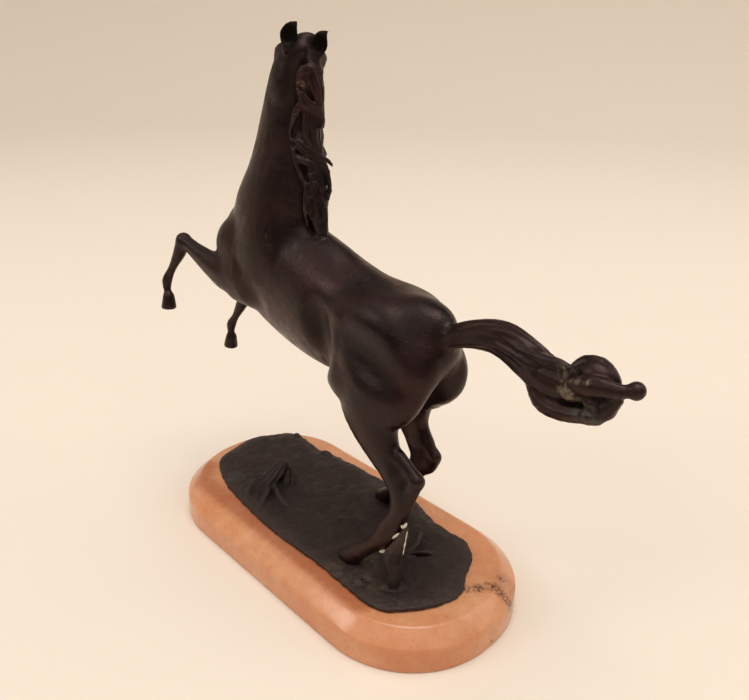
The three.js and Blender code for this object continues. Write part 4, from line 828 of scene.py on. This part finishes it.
def per_mm(size):
    """The scale of a pattern whose features are that many millimetres apart."""
    return 1 / (size * MM)


def new_material(name):
    material = bpy.data.materials.new(name)
    material.use_nodes = True
    tree = material.node_tree
    tree.nodes.clear()
    surface = add(tree, "BsdfPrincipled")
    add(tree, "OutputMaterial", inputs={"Surface": surface.outputs[0]})
    place = add(tree, "TexCoord").outputs["Object"]
    return material, tree, surface, place


def ranged(tree, value, low, high, to_low=0.0, to_high=1.0):
    """A value that goes from to_low to to_high as another goes from low to high, and no further."""
    return add(tree, "MapRange", inputs={"Value": value, "From Min": low, "From Max": high,
                                         "To Min": to_low, "To Max": to_high}).outputs[0]


def blotches(tree, place, size, detail=3.0, roughness=0.55, low=0.35, high=0.65):
    """A noise whose features are size millimetres across, spread from 0 to 1 between two levels."""
    made = add(tree, "TexNoise", inputs={"Vector": place, "Scale": per_mm(size), "Detail": detail,
                                         "Roughness": roughness})
    return ranged(tree, made.outputs["Fac"], low, high)


def mixed(tree, factor, first, second):
    made = add(tree, "Mix", {"data_type": "RGBA"}, {0: factor, MIX_A: first, MIX_B: second})
    return made.outputs[MIX_RESULT]


def times(tree, first, second):
    return add(tree, "Math", {"operation": "MULTIPLY"}, {0: first, 1: second}).outputs[0]


def larger(tree, first, second):
    return add(tree, "Math", {"operation": "MAXIMUM"}, {0: first, 1: second}).outputs[0]


def patches(tree, place, spots, ragged, low=0.4, high=0.55):
    """A mask that is 1 near each spot, x, y, z and radius in millimetres, and fades out ragged."""
    near = 0.0
    for *centre, radius in spots:
        shift = add(tree, "VectorMath", {"operation": "SUBTRACT"}, {0: place, 1: [c * MM for c in centre]})
        distance = add(tree, "VectorMath", {"operation": "LENGTH"}, {0: shift.outputs[0]}).outputs["Value"]
        near = larger(tree, near, ranged(tree, distance, radius * MM, radius * 0.4 * MM))
    return times(tree, near, blotches(tree, place, ragged, low=low, high=high))


def relief_between(tree, low, high):
    """A mask from 0 to 1 as the stored relief of the surface goes from low to high."""
    relief = add(tree, "Attribute", {"attribute_name": "relief"}).outputs["Fac"]
    return ranged(tree, relief, low, high)


def bumped(tree, surface, heights):
    """Bumps laid over each other: each has a height output and its depth in millimetres."""
    normal = None
    for height, depth in heights:
        inputs = {"Height": height, "Distance": depth * MM, "Strength": 1.0}
        if normal:
            inputs["Normal"] = normal
        normal = add(tree, "Bump", inputs=inputs).outputs[0]
    tree.links.new(normal, surface.inputs["Normal"])


def pits(tree, place, size, spread):
    """Casting pits: round dents some of which are missing, where spread is high."""
    cells = add(tree, "TexVoronoi", inputs={"Vector": place, "Scale": per_mm(size)})
    dent = ranged(tree, cells.outputs["Distance"], 0.16, 0.3, 1.0, 0.0)
    kept = add(tree, "Math", {"operation": "GREATER_THAN"}, {0: cells.outputs["Color"], 1: 0.55}).outputs[0]
    return times(tree, times(tree, dent, kept), spread)


# Places on the horse: x, y, z and radius of each spot.
MANE_SPOTS = [(15, -3, 234, 8), (15, -3, 222, 9), (14, -2, 210, 9), (13, -2, 198, 9), (11, -2, 187, 9),
              (9, -1, 176, 8)]
PALE_CURL = [(18.8, 3.6, 229, 3)]
WORN_TAIL = [(-124, 5, 143.5, 3.4), (-127.6, 7, 142.4, 2.4), (-131, 8, 143.6, 2.2), (-135, 8, 144.6, 2),
             (-126.5, 6, 138, 4), (-129.5, 6, 135.6, 3.6)]
GREEN_TAIL = [(-134.5, 5, 132, 6), (-138, 4, 131, 5)]
# Painted shade: the insides of the ears and the left cheek are darkened and dulled.
EAR_SHADE = [(23.5, 6, 249, 7.5), (14.5, -3.5, 245, 7.5)]
CHEEK_SHADE = [(33, 5, 231, 16)]
NECK_BASE = [(12, 10, 158, 26)]
TAIL_ROOT = [(-56, 4, 134, 16)]


def horse_bronze(settings):
    """Cast bronze with a black-brown patina, waxed: dark, satin, redder where thin; dull and darkened with
    painted shade in its hollows, inside its ears and on its left cheek.
    """
    material, tree, surface, place = new_material("patinated_bronze")
    shade = mixed(tree, blotches(tree, place, 26, 4), list(settings.patina), list(settings.thin_patina))
    shade = mixed(tree, times(tree, blotches(tree, place, 3.2, 5, 0.65), 0.5), shade, colour("#160f10"))
    shade = mixed(tree, times(tree, patches(tree, place, PALE_CURL, 1.5), 0.7), shade, colour("#8f7a64"))
    shade = mixed(tree, times(tree, patches(tree, place, WORN_TAIL, 2.0), 0.75), shade, colour("#776c5b"))
    shade = mixed(tree, times(tree, patches(tree, place, GREEN_TAIL, 2.2), 0.7), shade, colour("#3c453d"))
    on_mane = patches(tree, place, MANE_SPOTS, 60, 0.0, 0.1)
    shade = mixed(tree, times(tree, on_mane, 0.35), shade, colour("#0e0a0a"))
    # Lighter on the ridges of the relief, broken up in small blotches.
    lighter_on_ridges = times(tree, relief_between(tree, 0.6, 0.76), blotches(tree, place, 2.5, 3, 0.6))
    shade = mixed(tree, times(tree, lighter_on_ridges, 0.25), shade, colour("#5d463b"))
    # Painted shade: near black and dull inside the ears, in the hollows of the relief and on the left cheek.
    ear_shade = patches(tree, place, EAR_SHADE, 40, 0.1, 0.3)
    cheek_shade = patches(tree, place, CHEEK_SHADE, 40, 0.1, 0.3)
    hollow_shade = relief_between(tree, 0.49, 0.38)
    shade_and_dull = larger(tree, ear_shade, times(tree, hollow_shade, 0.9))
    shade_and_dull = larger(tree, shade_and_dull, times(tree, cheek_shade, 0.6))
    shade = mixed(tree, shade_and_dull, shade, colour("#080606"))
    tree.links.new(shade, surface.inputs["Base Color"])
    tree.links.new(ranged(tree, shade_and_dull, 0.0, 1.0, 0.38, 0.08), surface.inputs["Specular IOR Level"])
    tree.links.new(ranged(tree, shade_and_dull, 0.0, 1.0, 0.25, 0.0), surface.inputs["Metallic"])
    surface.inputs["Specular Tint"].default_value = colour("#ffe0d8")
    gloss = ranged(tree, blotches(tree, place, 7, 4), 0.0, 1.0, 0.27, 0.4)
    gloss = add(tree, "Math", {"operation": "ADD"}, {0: gloss, 1: times(tree, shade_and_dull, 0.35)})
    tree.links.new(gloss.outputs[0], surface.inputs["Roughness"])
    drawn_out = add(tree, "VectorMath", {"operation": "MULTIPLY"}, {0: place, 1: (1, 1, 0.14)}).outputs[0]
    hair = blotches(tree, drawn_out, 0.8, 2, 0.5, 0.25, 0.75)
    bumped(tree, surface, [
        (blotches(tree, place, 0.9, 3, 0.6, 0.2, 0.8), 0.08),
        (blotches(tree, place, 5, 3, 0.5, 0.2, 0.8), 0.1),
        (times(tree, hair, on_mane), 0.5),
        (pits(tree, place, 1.5, patches(tree, place, NECK_BASE, 6)), -0.5),
        (pits(tree, place, 1.7, patches(tree, place, TAIL_ROOT, 5)), -0.5),
    ])
    return material


# Places on the ground: x, y, z and radius of each spot.
GREEN_BY_HOOF = [(-42, 16.5, 22, 6.5), (-47, 19, 22, 5)]
GREEN_IN_FRONT = [(60, 24, 21, 7)]
DUSTY = [(-47, 24, 22, 11), (-57, 27, 21.5, 8), (-36, 32, 21, 7)]


def ground_bronze(settings):
    """Sand-cast bronze left rough, with a dull dark patina, a little verdigris and dust in its low places,
    and painted shade in its hollows.
    """
    material, tree, surface, place = new_material("rough_cast_bronze")
    shade = mixed(tree, blotches(tree, place, 14, 5, 0.6), list(settings.patina), colour("#352624"))
    shade = mixed(tree, times(tree, blotches(tree, place, 2.2, 5, 0.7), 0.6), shade, colour("#120e0d"))
    by_hoof = patches(tree, place, GREEN_BY_HOOF, 2.0)
    shade = mixed(tree, times(tree, by_hoof, 0.7), shade, colour("#4f5a42"))
    in_front = patches(tree, place, GREEN_IN_FRONT, 2.0)
    shade = mixed(tree, times(tree, in_front, 0.5), shade, colour("#3f5054"))
    dust = patches(tree, place, DUSTY, 3, 0.35, 0.6)
    shade = mixed(tree, times(tree, dust, 0.55), shade, colour("#5b4a40"))
    # Painted shade: near black in the hollows of the relief.
    shade = mixed(tree, times(tree, relief_between(tree, 0.47, 0.38), 0.7), shade, colour("#0d0a09"))
    shade = mixed(tree, times(tree, relief_between(tree, 0.53, 0.62), 0.3), shade, colour("#5a4a45"))
    tree.links.new(shade, surface.inputs["Base Color"])
    surface.inputs["Metallic"].default_value = 0.35
    surface.inputs["Specular IOR Level"].default_value = 0.35
    dullness = ranged(tree, blotches(tree, place, 5, 4), 0.0, 1.0, 0.46, 0.68)
    tree.links.new(dullness, surface.inputs["Roughness"])
    bumped(tree, surface, [
        (blotches(tree, place, 1.2, 3, 0.6, 0.2, 0.8), 0.08),
        (blotches(tree, place, 4, 4, 0.6, 0.2, 0.8), 0.35),
    ])
    return material


# Places on the plinth: x, y, z and radius of each spot. The vein and its specks are at the rear end.
VEIN = [
    (-84, -4.6, 18.7, 3.4), (-87, -9, 18.7, 4), (-90, -14, 18.7, 4.6), (-93.6, -16, 17, 4.2),
    (-96.6, -17, 14.5, 3.8), (-99.2, -18, 11, 3.4), (-89.4, -22.6, 17, 3), (-94, -29, 9.5, 4),
    (-96.5, -25, 8, 3.6), (-93, -0.5, 12, 2.6), (-96.6, -7, 12, 1.8), (-99.4, -10.2, 10, 1.8),
    (-95, 5.1, 8, 2.2), (-102.5, -2.2, 3, 1.6),
]
ROUND_VEIN = [(-93, -23, 15, 9), (-98, -20, 9, 7)]
# Along the ground's edge on the top: painted shadow and reflection of the dark ground.
BESIDE_GROUND = [(84, 28, 18.7, 9), (79, 33, 18.7, 9)] + [(x, 37, 18.7, 8) for x in range(-58, 76, 6)]


def salmon_marble(settings):
    """Polished marble: salmon with paler clouds and freckles, with a brown vein; redder by the ground, where
    painted shadow and reflection of the dark ground lie on its top.
    """
    material, tree, surface, place = new_material("salmon_marble")
    shade = mixed(tree, blotches(tree, place, 34, 5, 0.6), list(settings.stone), list(settings.pale_stone))
    shade = mixed(tree, times(tree, blotches(tree, place, 6, 6, 0.7), 0.35), shade, colour("#c07a54"))
    freckles = blotches(tree, place, 1.6, 4, 0.6, 0.58, 0.72)
    shade = mixed(tree, times(tree, freckles, 0.4), shade, colour("#a9623f"))
    clouded = patches(tree, place, ROUND_VEIN, 6, 0.3, 0.6)
    shade = mixed(tree, times(tree, clouded, 0.7), shade, colour("#a17c66"))
    # Painted shadow and reflection of the dark ground along its edge.
    ground_shadow_band = patches(tree, place, BESIDE_GROUND, 14, 0.0, 0.3)
    shade = mixed(tree, times(tree, ground_shadow_band, 0.55), shade, colour("#9a4a2b"))
    vein = patches(tree, place, VEIN, 1.2, 0.36, 0.6)
    shade = mixed(tree, times(tree, vein, 0.9), shade, colour("#3f2c1e"))
    tree.links.new(shade, surface.inputs["Base Color"])
    surface.inputs["Roughness"].default_value = 0.17
    surface.inputs["IOR"].default_value = 1.49
    surface.inputs["Subsurface Weight"].default_value = 0.08
    surface.inputs["Subsurface Radius"].default_value = (0.003, 0.0015, 0.001)
    bumped(tree, surface, [(blotches(tree, place, 9, 3, 0.5, 0.1, 0.9), 0.06)])
    return material


def glue_pale_for_glints():
    """Hardened glue: glossy drops with a faint yellow tint, kept pale and little clear so that their colour
    paints the white glints on them.
    """
    material, _, surface, _ = new_material("glue_pale_for_glints")
    # Partly painted highlight: the pale colour stands in for the white glints on the drops.
    surface.inputs["Base Color"].default_value = colour("#e6ddca")
    surface.inputs["Roughness"].default_value = 0.05
    surface.inputs["IOR"].default_value = 1.5
    surface.inputs["Transmission Weight"].default_value = 0.3
    return material


def plain_paint(name, code, roughness):
    material, _, surface, _ = new_material(name)
    surface.inputs["Base Color"].default_value = colour(code)
    surface.inputs["Roughness"].default_value = roughness
    return material


class HorseSettings(bpy.types.PropertyGroup):
    cell: bpy.props.FloatProperty(
        name="Clay cell", description="Spacing of the grid that the horse is modelled in, in millimetres",
        default=0.7, min=0.4, max=3)
    triangles: bpy.props.IntProperty(
        name="Triangles", description="Most triangles that the horse may have", default=190000)
    patina: bpy.props.FloatVectorProperty(
        name="Patina", description="Colour where the patina is thick", subtype="COLOR", size=4,
        default=colour("#0f0b0c"))
    thin_patina: bpy.props.FloatVectorProperty(
        name="Thin patina", description="Colour where the bronze glows through", subtype="COLOR", size=4,
        default=colour("#2a1314"))


class GroundSettings(bpy.types.PropertyGroup):
    cell: bpy.props.FloatProperty(
        name="Clay cell", description="Spacing of the grid that the ground is modelled in, in millimetres",
        default=0.6, min=0.4, max=3)
    triangles: bpy.props.IntProperty(
        name="Triangles", description="Most triangles that the ground may have", default=150000)
    patina: bpy.props.FloatVectorProperty(
        name="Patina", description="Colour of the cast ground", subtype="COLOR", size=4,
        default=colour("#241a19"))


class PlinthSettings(bpy.types.PropertyGroup):
    corner: bpy.props.FloatProperty(
        name="Corner radius", description="Radius of the rounded ends", default=47.5 * MM, unit="LENGTH")
    chamfer_in: bpy.props.FloatProperty(
        name="Chamfer width", description="How far the chamfer goes in", default=7.4 * MM, unit="LENGTH")
    chamfer_down: bpy.props.FloatProperty(
        name="Chamfer drop", description="How far the chamfer goes down", default=6.7 * MM, unit="LENGTH")
    edge_round: bpy.props.FloatProperty(
        name="Edge rounding", description="Softening of the edges", default=0.9 * MM, unit="LENGTH")
    stone: bpy.props.FloatVectorProperty(
        name="Stone", description="Colour of the marble", subtype="COLOR", size=4, default=colour("#d08a60"))
    pale_stone: bpy.props.FloatVectorProperty(
        name="Pale stone", description="Colour of its pale clouds", subtype="COLOR", size=4,
        default=colour("#dda47c"))


class StageSettings(bpy.types.PropertyGroup):
    lens: bpy.props.FloatProperty(name="Lens", description="Focal length", default=35.0, unit="CAMERA")
    camera_place: bpy.props.FloatVectorProperty(
        name="Camera", description="Where the camera stands", default=(-0.2442, 0.2073, 0.2449),
        unit="LENGTH")
    camera_yaw: bpy.props.FloatProperty(
        name="Yaw", description="Turn of the view from +X", default=math.radians(-43.49), unit="ROTATION")
    camera_pitch: bpy.props.FloatProperty(
        name="Pitch", description="Tilt of the view from level", default=math.radians(-22.72),
        unit="ROTATION")
    camera_roll: bpy.props.FloatProperty(
        name="Roll", description="Turn of the picture", default=math.radians(1.05), unit="ROTATION")
    floor_size: bpy.props.FloatProperty(
        name="Floor", description="Width of the round floor", default=7.0, unit="LENGTH")
    wall_height: bpy.props.FloatProperty(
        name="Wall", description="Height of the wall that the floor sweeps up into", default=2.4,
        unit="LENGTH")
    sweep: bpy.props.FloatProperty(
        name="Sweep", description="Radius of the curve between floor and wall", default=1.4, unit="LENGTH")


class HORSE_OT_add_plinth(bpy.types.Operator):
    """Models the marble plinth: a slab with rounded ends, a wide chamfer and softened edges"""
    bl_idname = "bronze_horse.add_plinth"
    bl_label = "Marble plinth"

    def execute(self, context):
        settings = context.scene.plinth_settings
        size = PLINTH_HIGH - PLINTH_LOW
        shoulder = size.z - settings.chamfer_down
        middle = (PLINTH_LOW + PLINTH_HIGH) / 2
        deselect()
        bpy.ops.mesh.primitive_cube_add(size=1, location=(middle.x, middle.y, shoulder / 2),
                                        scale=(size.x, size.y, shoulder))
        obj = context.object
        obj.name = obj.data.name = "plinth"
        bpy.ops.object.transform_apply()
        bpy.ops.object.mode_set(mode="EDIT")
        select_edges(obj, lambda a, b: abs(a.z - b.z) > shoulder / 2)
        bpy.ops.mesh.bevel(offset=settings.corner, segments=28, affect="EDGES", clamp_overlap=False)
        select_faces(obj, lambda face: face.normal.z > 0.9)
        bpy.ops.mesh.inset(thickness=settings.chamfer_in, depth=settings.chamfer_down)
        rims = (0, shoulder, size.z)
        select_edges(obj, lambda a, b: level_at(a, b, rims))
        bpy.ops.mesh.bevel(offset=settings.edge_round, segments=4, affect="EDGES")
        bpy.ops.object.mode_set(mode="OBJECT")
        bpy.ops.object.shade_smooth_by_angle(angle=math.radians(30))
        settle(obj, salmon_marble(settings), "marble", "marble_plinth")
        return {"FINISHED"}


def level_at(a, b, heights):
    """Whether an edge lies level at one of these heights."""
    return abs(a.z - b.z) < TINY and any(abs(a.z - height) < TINY for height in heights)


def select_edges(obj, wanted):
    bpy.ops.mesh.select_all(action="DESELECT")
    bpy.ops.mesh.select_mode(type="EDGE")
    shape = bmesh.from_edit_mesh(obj.data)
    for edge in shape.edges:
        edge.select_set(bool(wanted(edge.verts[0].co, edge.verts[1].co)))
    bmesh.update_edit_mesh(obj.data)


def select_faces(obj, wanted):
    bpy.ops.mesh.select_all(action="DESELECT")
    bpy.ops.mesh.select_mode(type="FACE")
    shape = bmesh.from_edit_mesh(obj.data)
    shape.normal_update()
    for face in shape.faces:
        face.select_set(bool(wanted(face)))
    bmesh.update_edit_mesh(obj.data)


def keep_largest(obj):
    """Takes out the specks and inner bubbles that hang on nothing."""
    shape = bmesh.new()
    shape.from_mesh(obj.data)
    left = set(shape.verts)
    parts = []
    while left:
        part = {left.pop()}
        rim = list(part)
        while rim:
            vertex = rim.pop()
            beside = {edge.other_vert(vertex) for edge in vertex.link_edges} - part
            part |= beside
            rim.extend(beside)
        left -= part
        parts.append(part)
    parts.sort(key=len)
    specks = [vertex for part in parts[:-1] for vertex in part]
    bmesh.ops.delete(shape, geom=specks, context="VERTS")
    shape.to_mesh(obj.data)
    shape.free()


def finish_skin(obj, triangles, texture, strength):
    """Thins a skin to its limit, roughens it a little and shades it smooth."""
    count = sum(len(face.vertices) - 2 for face in obj.data.polygons)
    if count > triangles:
        modify(obj, "DECIMATE", ratio=triangles / count)
    keep_largest(obj)
    modify(obj, "DISPLACE", texture=texture, texture_coords="LOCAL", strength=strength * MM, mid_level=0.5)
    take_up(obj)
    bpy.ops.object.mode_set(mode="EDIT")
    bpy.ops.mesh.select_all(action="SELECT")
    bpy.ops.mesh.normals_make_consistent(inside=False)
    bpy.ops.object.mode_set(mode="OBJECT")
    bpy.ops.object.shade_smooth()


class HORSE_OT_add_horse(bpy.types.Operator):
    """Models the horse, with its mane and tail, as one casting"""
    bl_idname = "bronze_horse.add_horse"
    bl_label = "Bronze horse"

    def execute(self, context):
        settings = context.scene.horse_settings
        clay = horse_clay(settings.cell)
        obj = clay.skin("horse")
        finish_skin(obj, settings.triangles, grain_texture("skin_grain", 4, 3), strength=0.25)
        clay.mark_relief(obj)
        settle(obj, horse_bronze(settings), "horse_bronze", "bronze_horse")
        return {"FINISHED"}


class HORSE_OT_add_ground(bpy.types.Operator):
    """Models the cast ground with its broken stump and the prop under the left hind leg"""
    bl_idname = "bronze_horse.add_ground"
    bl_label = "Cast ground"

    def execute(self, context):
        settings = context.scene.ground_settings
        clay = ground_clay(settings.cell)
        obj = clay.skin("ground")
        finish_skin(obj, settings.triangles, grain_texture("ground_grain", 2, 3), strength=0.3)
        clay.mark_relief(obj)
        settle(obj, ground_bronze(settings), "ground_bronze", "bronze_ground")
        return {"FINISHED"}


class HORSE_OT_add_glue(bpy.types.Operator):
    """Models the drops of glue that hold the prop to the left hind leg"""
    bl_idname = "bronze_horse.add_glue"
    bl_label = "Glue drops"

    def execute(self, context):
        deselect()
        made = []
        for start, end, thick in GLUE_DROPS:
            run = Vector(end) - Vector(start)
            middle = (Vector(start) + Vector(end)) / 2
            turn = run.to_track_quat("Z", "Y").to_euler()
            size = (thick * MM, thick * MM, (run.length / 2 + thick) * MM)
            bpy.ops.mesh.primitive_uv_sphere_add(segments=24, ring_count=16, radius=1, location=middle * MM,
                                                 rotation=turn, scale=size)
            made.append(context.object)
        for drop in made:
            drop.select_set(True)
        bpy.ops.object.join()
        obj = context.object
        obj.name = obj.data.name = "glue_drops"
        bpy.ops.object.transform_apply()
        modify(obj, "DISPLACE", texture=grain_texture("drop_sag", 2, 1), texture_coords="LOCAL",
               strength=0.5 * MM, mid_level=0.5)
        take_up(obj)
        bpy.ops.object.shade_smooth()
        settle(obj, glue_pale_for_glints(), "ground_bronze")
        return {"FINISHED"}


class HORSE_OT_add_stage(bpy.types.Operator):
    """Sets the floor, the studio light and the camera"""
    bl_idname = "bronze_horse.add_stage"
    bl_label = "Stage"

    def execute(self, context):
        settings = context.scene.stage_settings
        self.add_floor(settings)
        world = bpy.data.worlds.new("studio")
        context.scene.world = world
        world.use_nodes = True
        air = world.node_tree.nodes["Background"]
        air.inputs["Color"].default_value = colour(LAMPLIGHT)
        air.inputs["Strength"].default_value = 0.09
        context.scene.view_settings.view_transform = "Standard"
        for name, place, size, power in LAMPS:
            self.add_light(name, place, size, power)
        self.add_sun("ceiling_light", (-0.1, 0.3, 1), 1.4)
        self.add_camera(settings)
        return {"FINISHED"}

    def add_floor(self, settings):
        """A round floor that sweeps up into a wall. The wall behind the camera leaves no reflection."""
        deselect()
        height = settings.wall_height
        bpy.ops.mesh.primitive_cylinder_add(vertices=96, radius=settings.floor_size / 2, depth=height,
                                            location=(0, 0, height / 2))
        floor = bpy.context.object
        floor.name = "floor"
        bpy.ops.object.transform_apply()
        bpy.ops.object.mode_set(mode="EDIT")
        select_faces(floor, lambda face: face.normal.z > 0.9)
        bpy.ops.mesh.delete(type="FACE")
        select_edges(floor, lambda a, b: level_at(a, b, [0]))
        bpy.ops.mesh.bevel(offset=settings.sweep, segments=32, affect="EDGES")
        bpy.ops.mesh.select_all(action="SELECT")
        bpy.ops.mesh.flip_normals()
        bpy.ops.object.mode_set(mode="OBJECT")
        bpy.ops.object.shade_smooth()
        floor.data.materials.append(plain_paint("pale_floor", "#f1e7da", 0.9))
        flat_part = settings.floor_size / 2 - settings.sweep
        towards_camera = Vector(settings.camera_place).to_2d()

        def is_near_wall(face):
            middle = face.calc_center_median().to_2d()
            return middle.length > flat_part * 0.5 and middle.dot(towards_camera) > 0

        bpy.ops.object.mode_set(mode="EDIT")
        select_faces(floor, is_near_wall)
        bpy.ops.mesh.separate(type="SELECTED")
        bpy.ops.object.mode_set(mode="OBJECT")
        near_wall = next(o for o in bpy.context.selected_objects if o != floor)
        near_wall.name = "near_wall"
        near_wall.visible_glossy = False

    def add_camera(self, settings):
        yaw, pitch, roll = settings.camera_yaw, settings.camera_pitch, settings.camera_roll
        level = Vector((math.cos(yaw), math.sin(yaw), 0))
        forward = level * math.cos(pitch) + Vector((0, 0, math.sin(pitch)))
        right = forward.cross(Vector((0, 0, 1))).normalized()
        up = right.cross(forward)
        rolled_right = math.cos(roll) * right + math.sin(roll) * up
        rolled_up = math.cos(roll) * up - math.sin(roll) * right
        bpy.ops.object.camera_add()
        camera = bpy.context.object
        turn = Matrix((rolled_right, rolled_up, -forward)).transposed().to_4x4()
        camera.matrix_world = Matrix.Translation(settings.camera_place) @ turn
        camera.data.lens = settings.lens
        camera.data.sensor_width = 36
        camera.data.clip_start = 0.01
        bpy.context.scene.camera = camera

    def add_light(self, name, place, size, power):
        aim = Vector((0, 0, 0.12))
        turn = (aim - Vector(place)).to_track_quat("-Z", "Y").to_euler()
        bpy.ops.object.light_add(type="AREA", location=place, rotation=turn)
        light = bpy.context.object
        light.name = name
        light.data.size = size
        light.data.energy = power
        light.data.color = colour(LAMPLIGHT)[:3]

    def add_sun(self, name, towards, strength):
        turn = Vector(towards).to_track_quat("Z", "Y").to_euler()
        bpy.ops.object.light_add(type="SUN", location=towards, rotation=turn)
        light = bpy.context.object
        light.name = name
        light.data.energy = strength
        light.data.angle = math.radians(100)
        light.data.color = colour(LAMPLIGHT)[:3]


class HORSE_PT_panel(bpy.types.Panel):
    """Lists the pieces of the work"""
    bl_label = "Bronze horse"
    bl_space_type = "VIEW_3D"
    bl_region_type = "UI"
    bl_category = "Bronze horse"

    def draw(self, context):
        for operator in OPERATORS:
            self.layout.operator(operator.bl_idname)


OPERATORS = [
    HORSE_OT_add_stage, HORSE_OT_add_plinth, HORSE_OT_add_ground, HORSE_OT_add_horse, HORSE_OT_add_glue,
]
GROUPS = {
    "horse_settings": HorseSettings,
    "ground_settings": GroundSettings,
    "plinth_settings": PlinthSettings,
    "stage_settings": StageSettings,
}


def register():
    for kind in (*GROUPS.values(), *OPERATORS, HORSE_PT_panel):
        bpy.utils.register_class(kind)
    for name, kind in GROUPS.items():
        setattr(bpy.types.Scene, name, bpy.props.PointerProperty(type=kind))


def unregister():
    for name in GROUPS:
        delattr(bpy.types.Scene, name)
    for kind in reversed((*GROUPS.values(), *OPERATORS, HORSE_PT_panel)):
        bpy.utils.unregister_class(kind)


def main():
    register()
    bpy.ops.bronze_horse.add_stage()
    bpy.ops.bronze_horse.add_plinth()
    bpy.ops.bronze_horse.add_ground()
    bpy.ops.bronze_horse.add_horse()
    bpy.ops.bronze_horse.add_glue()


if __name__ == "__main__":
    main()
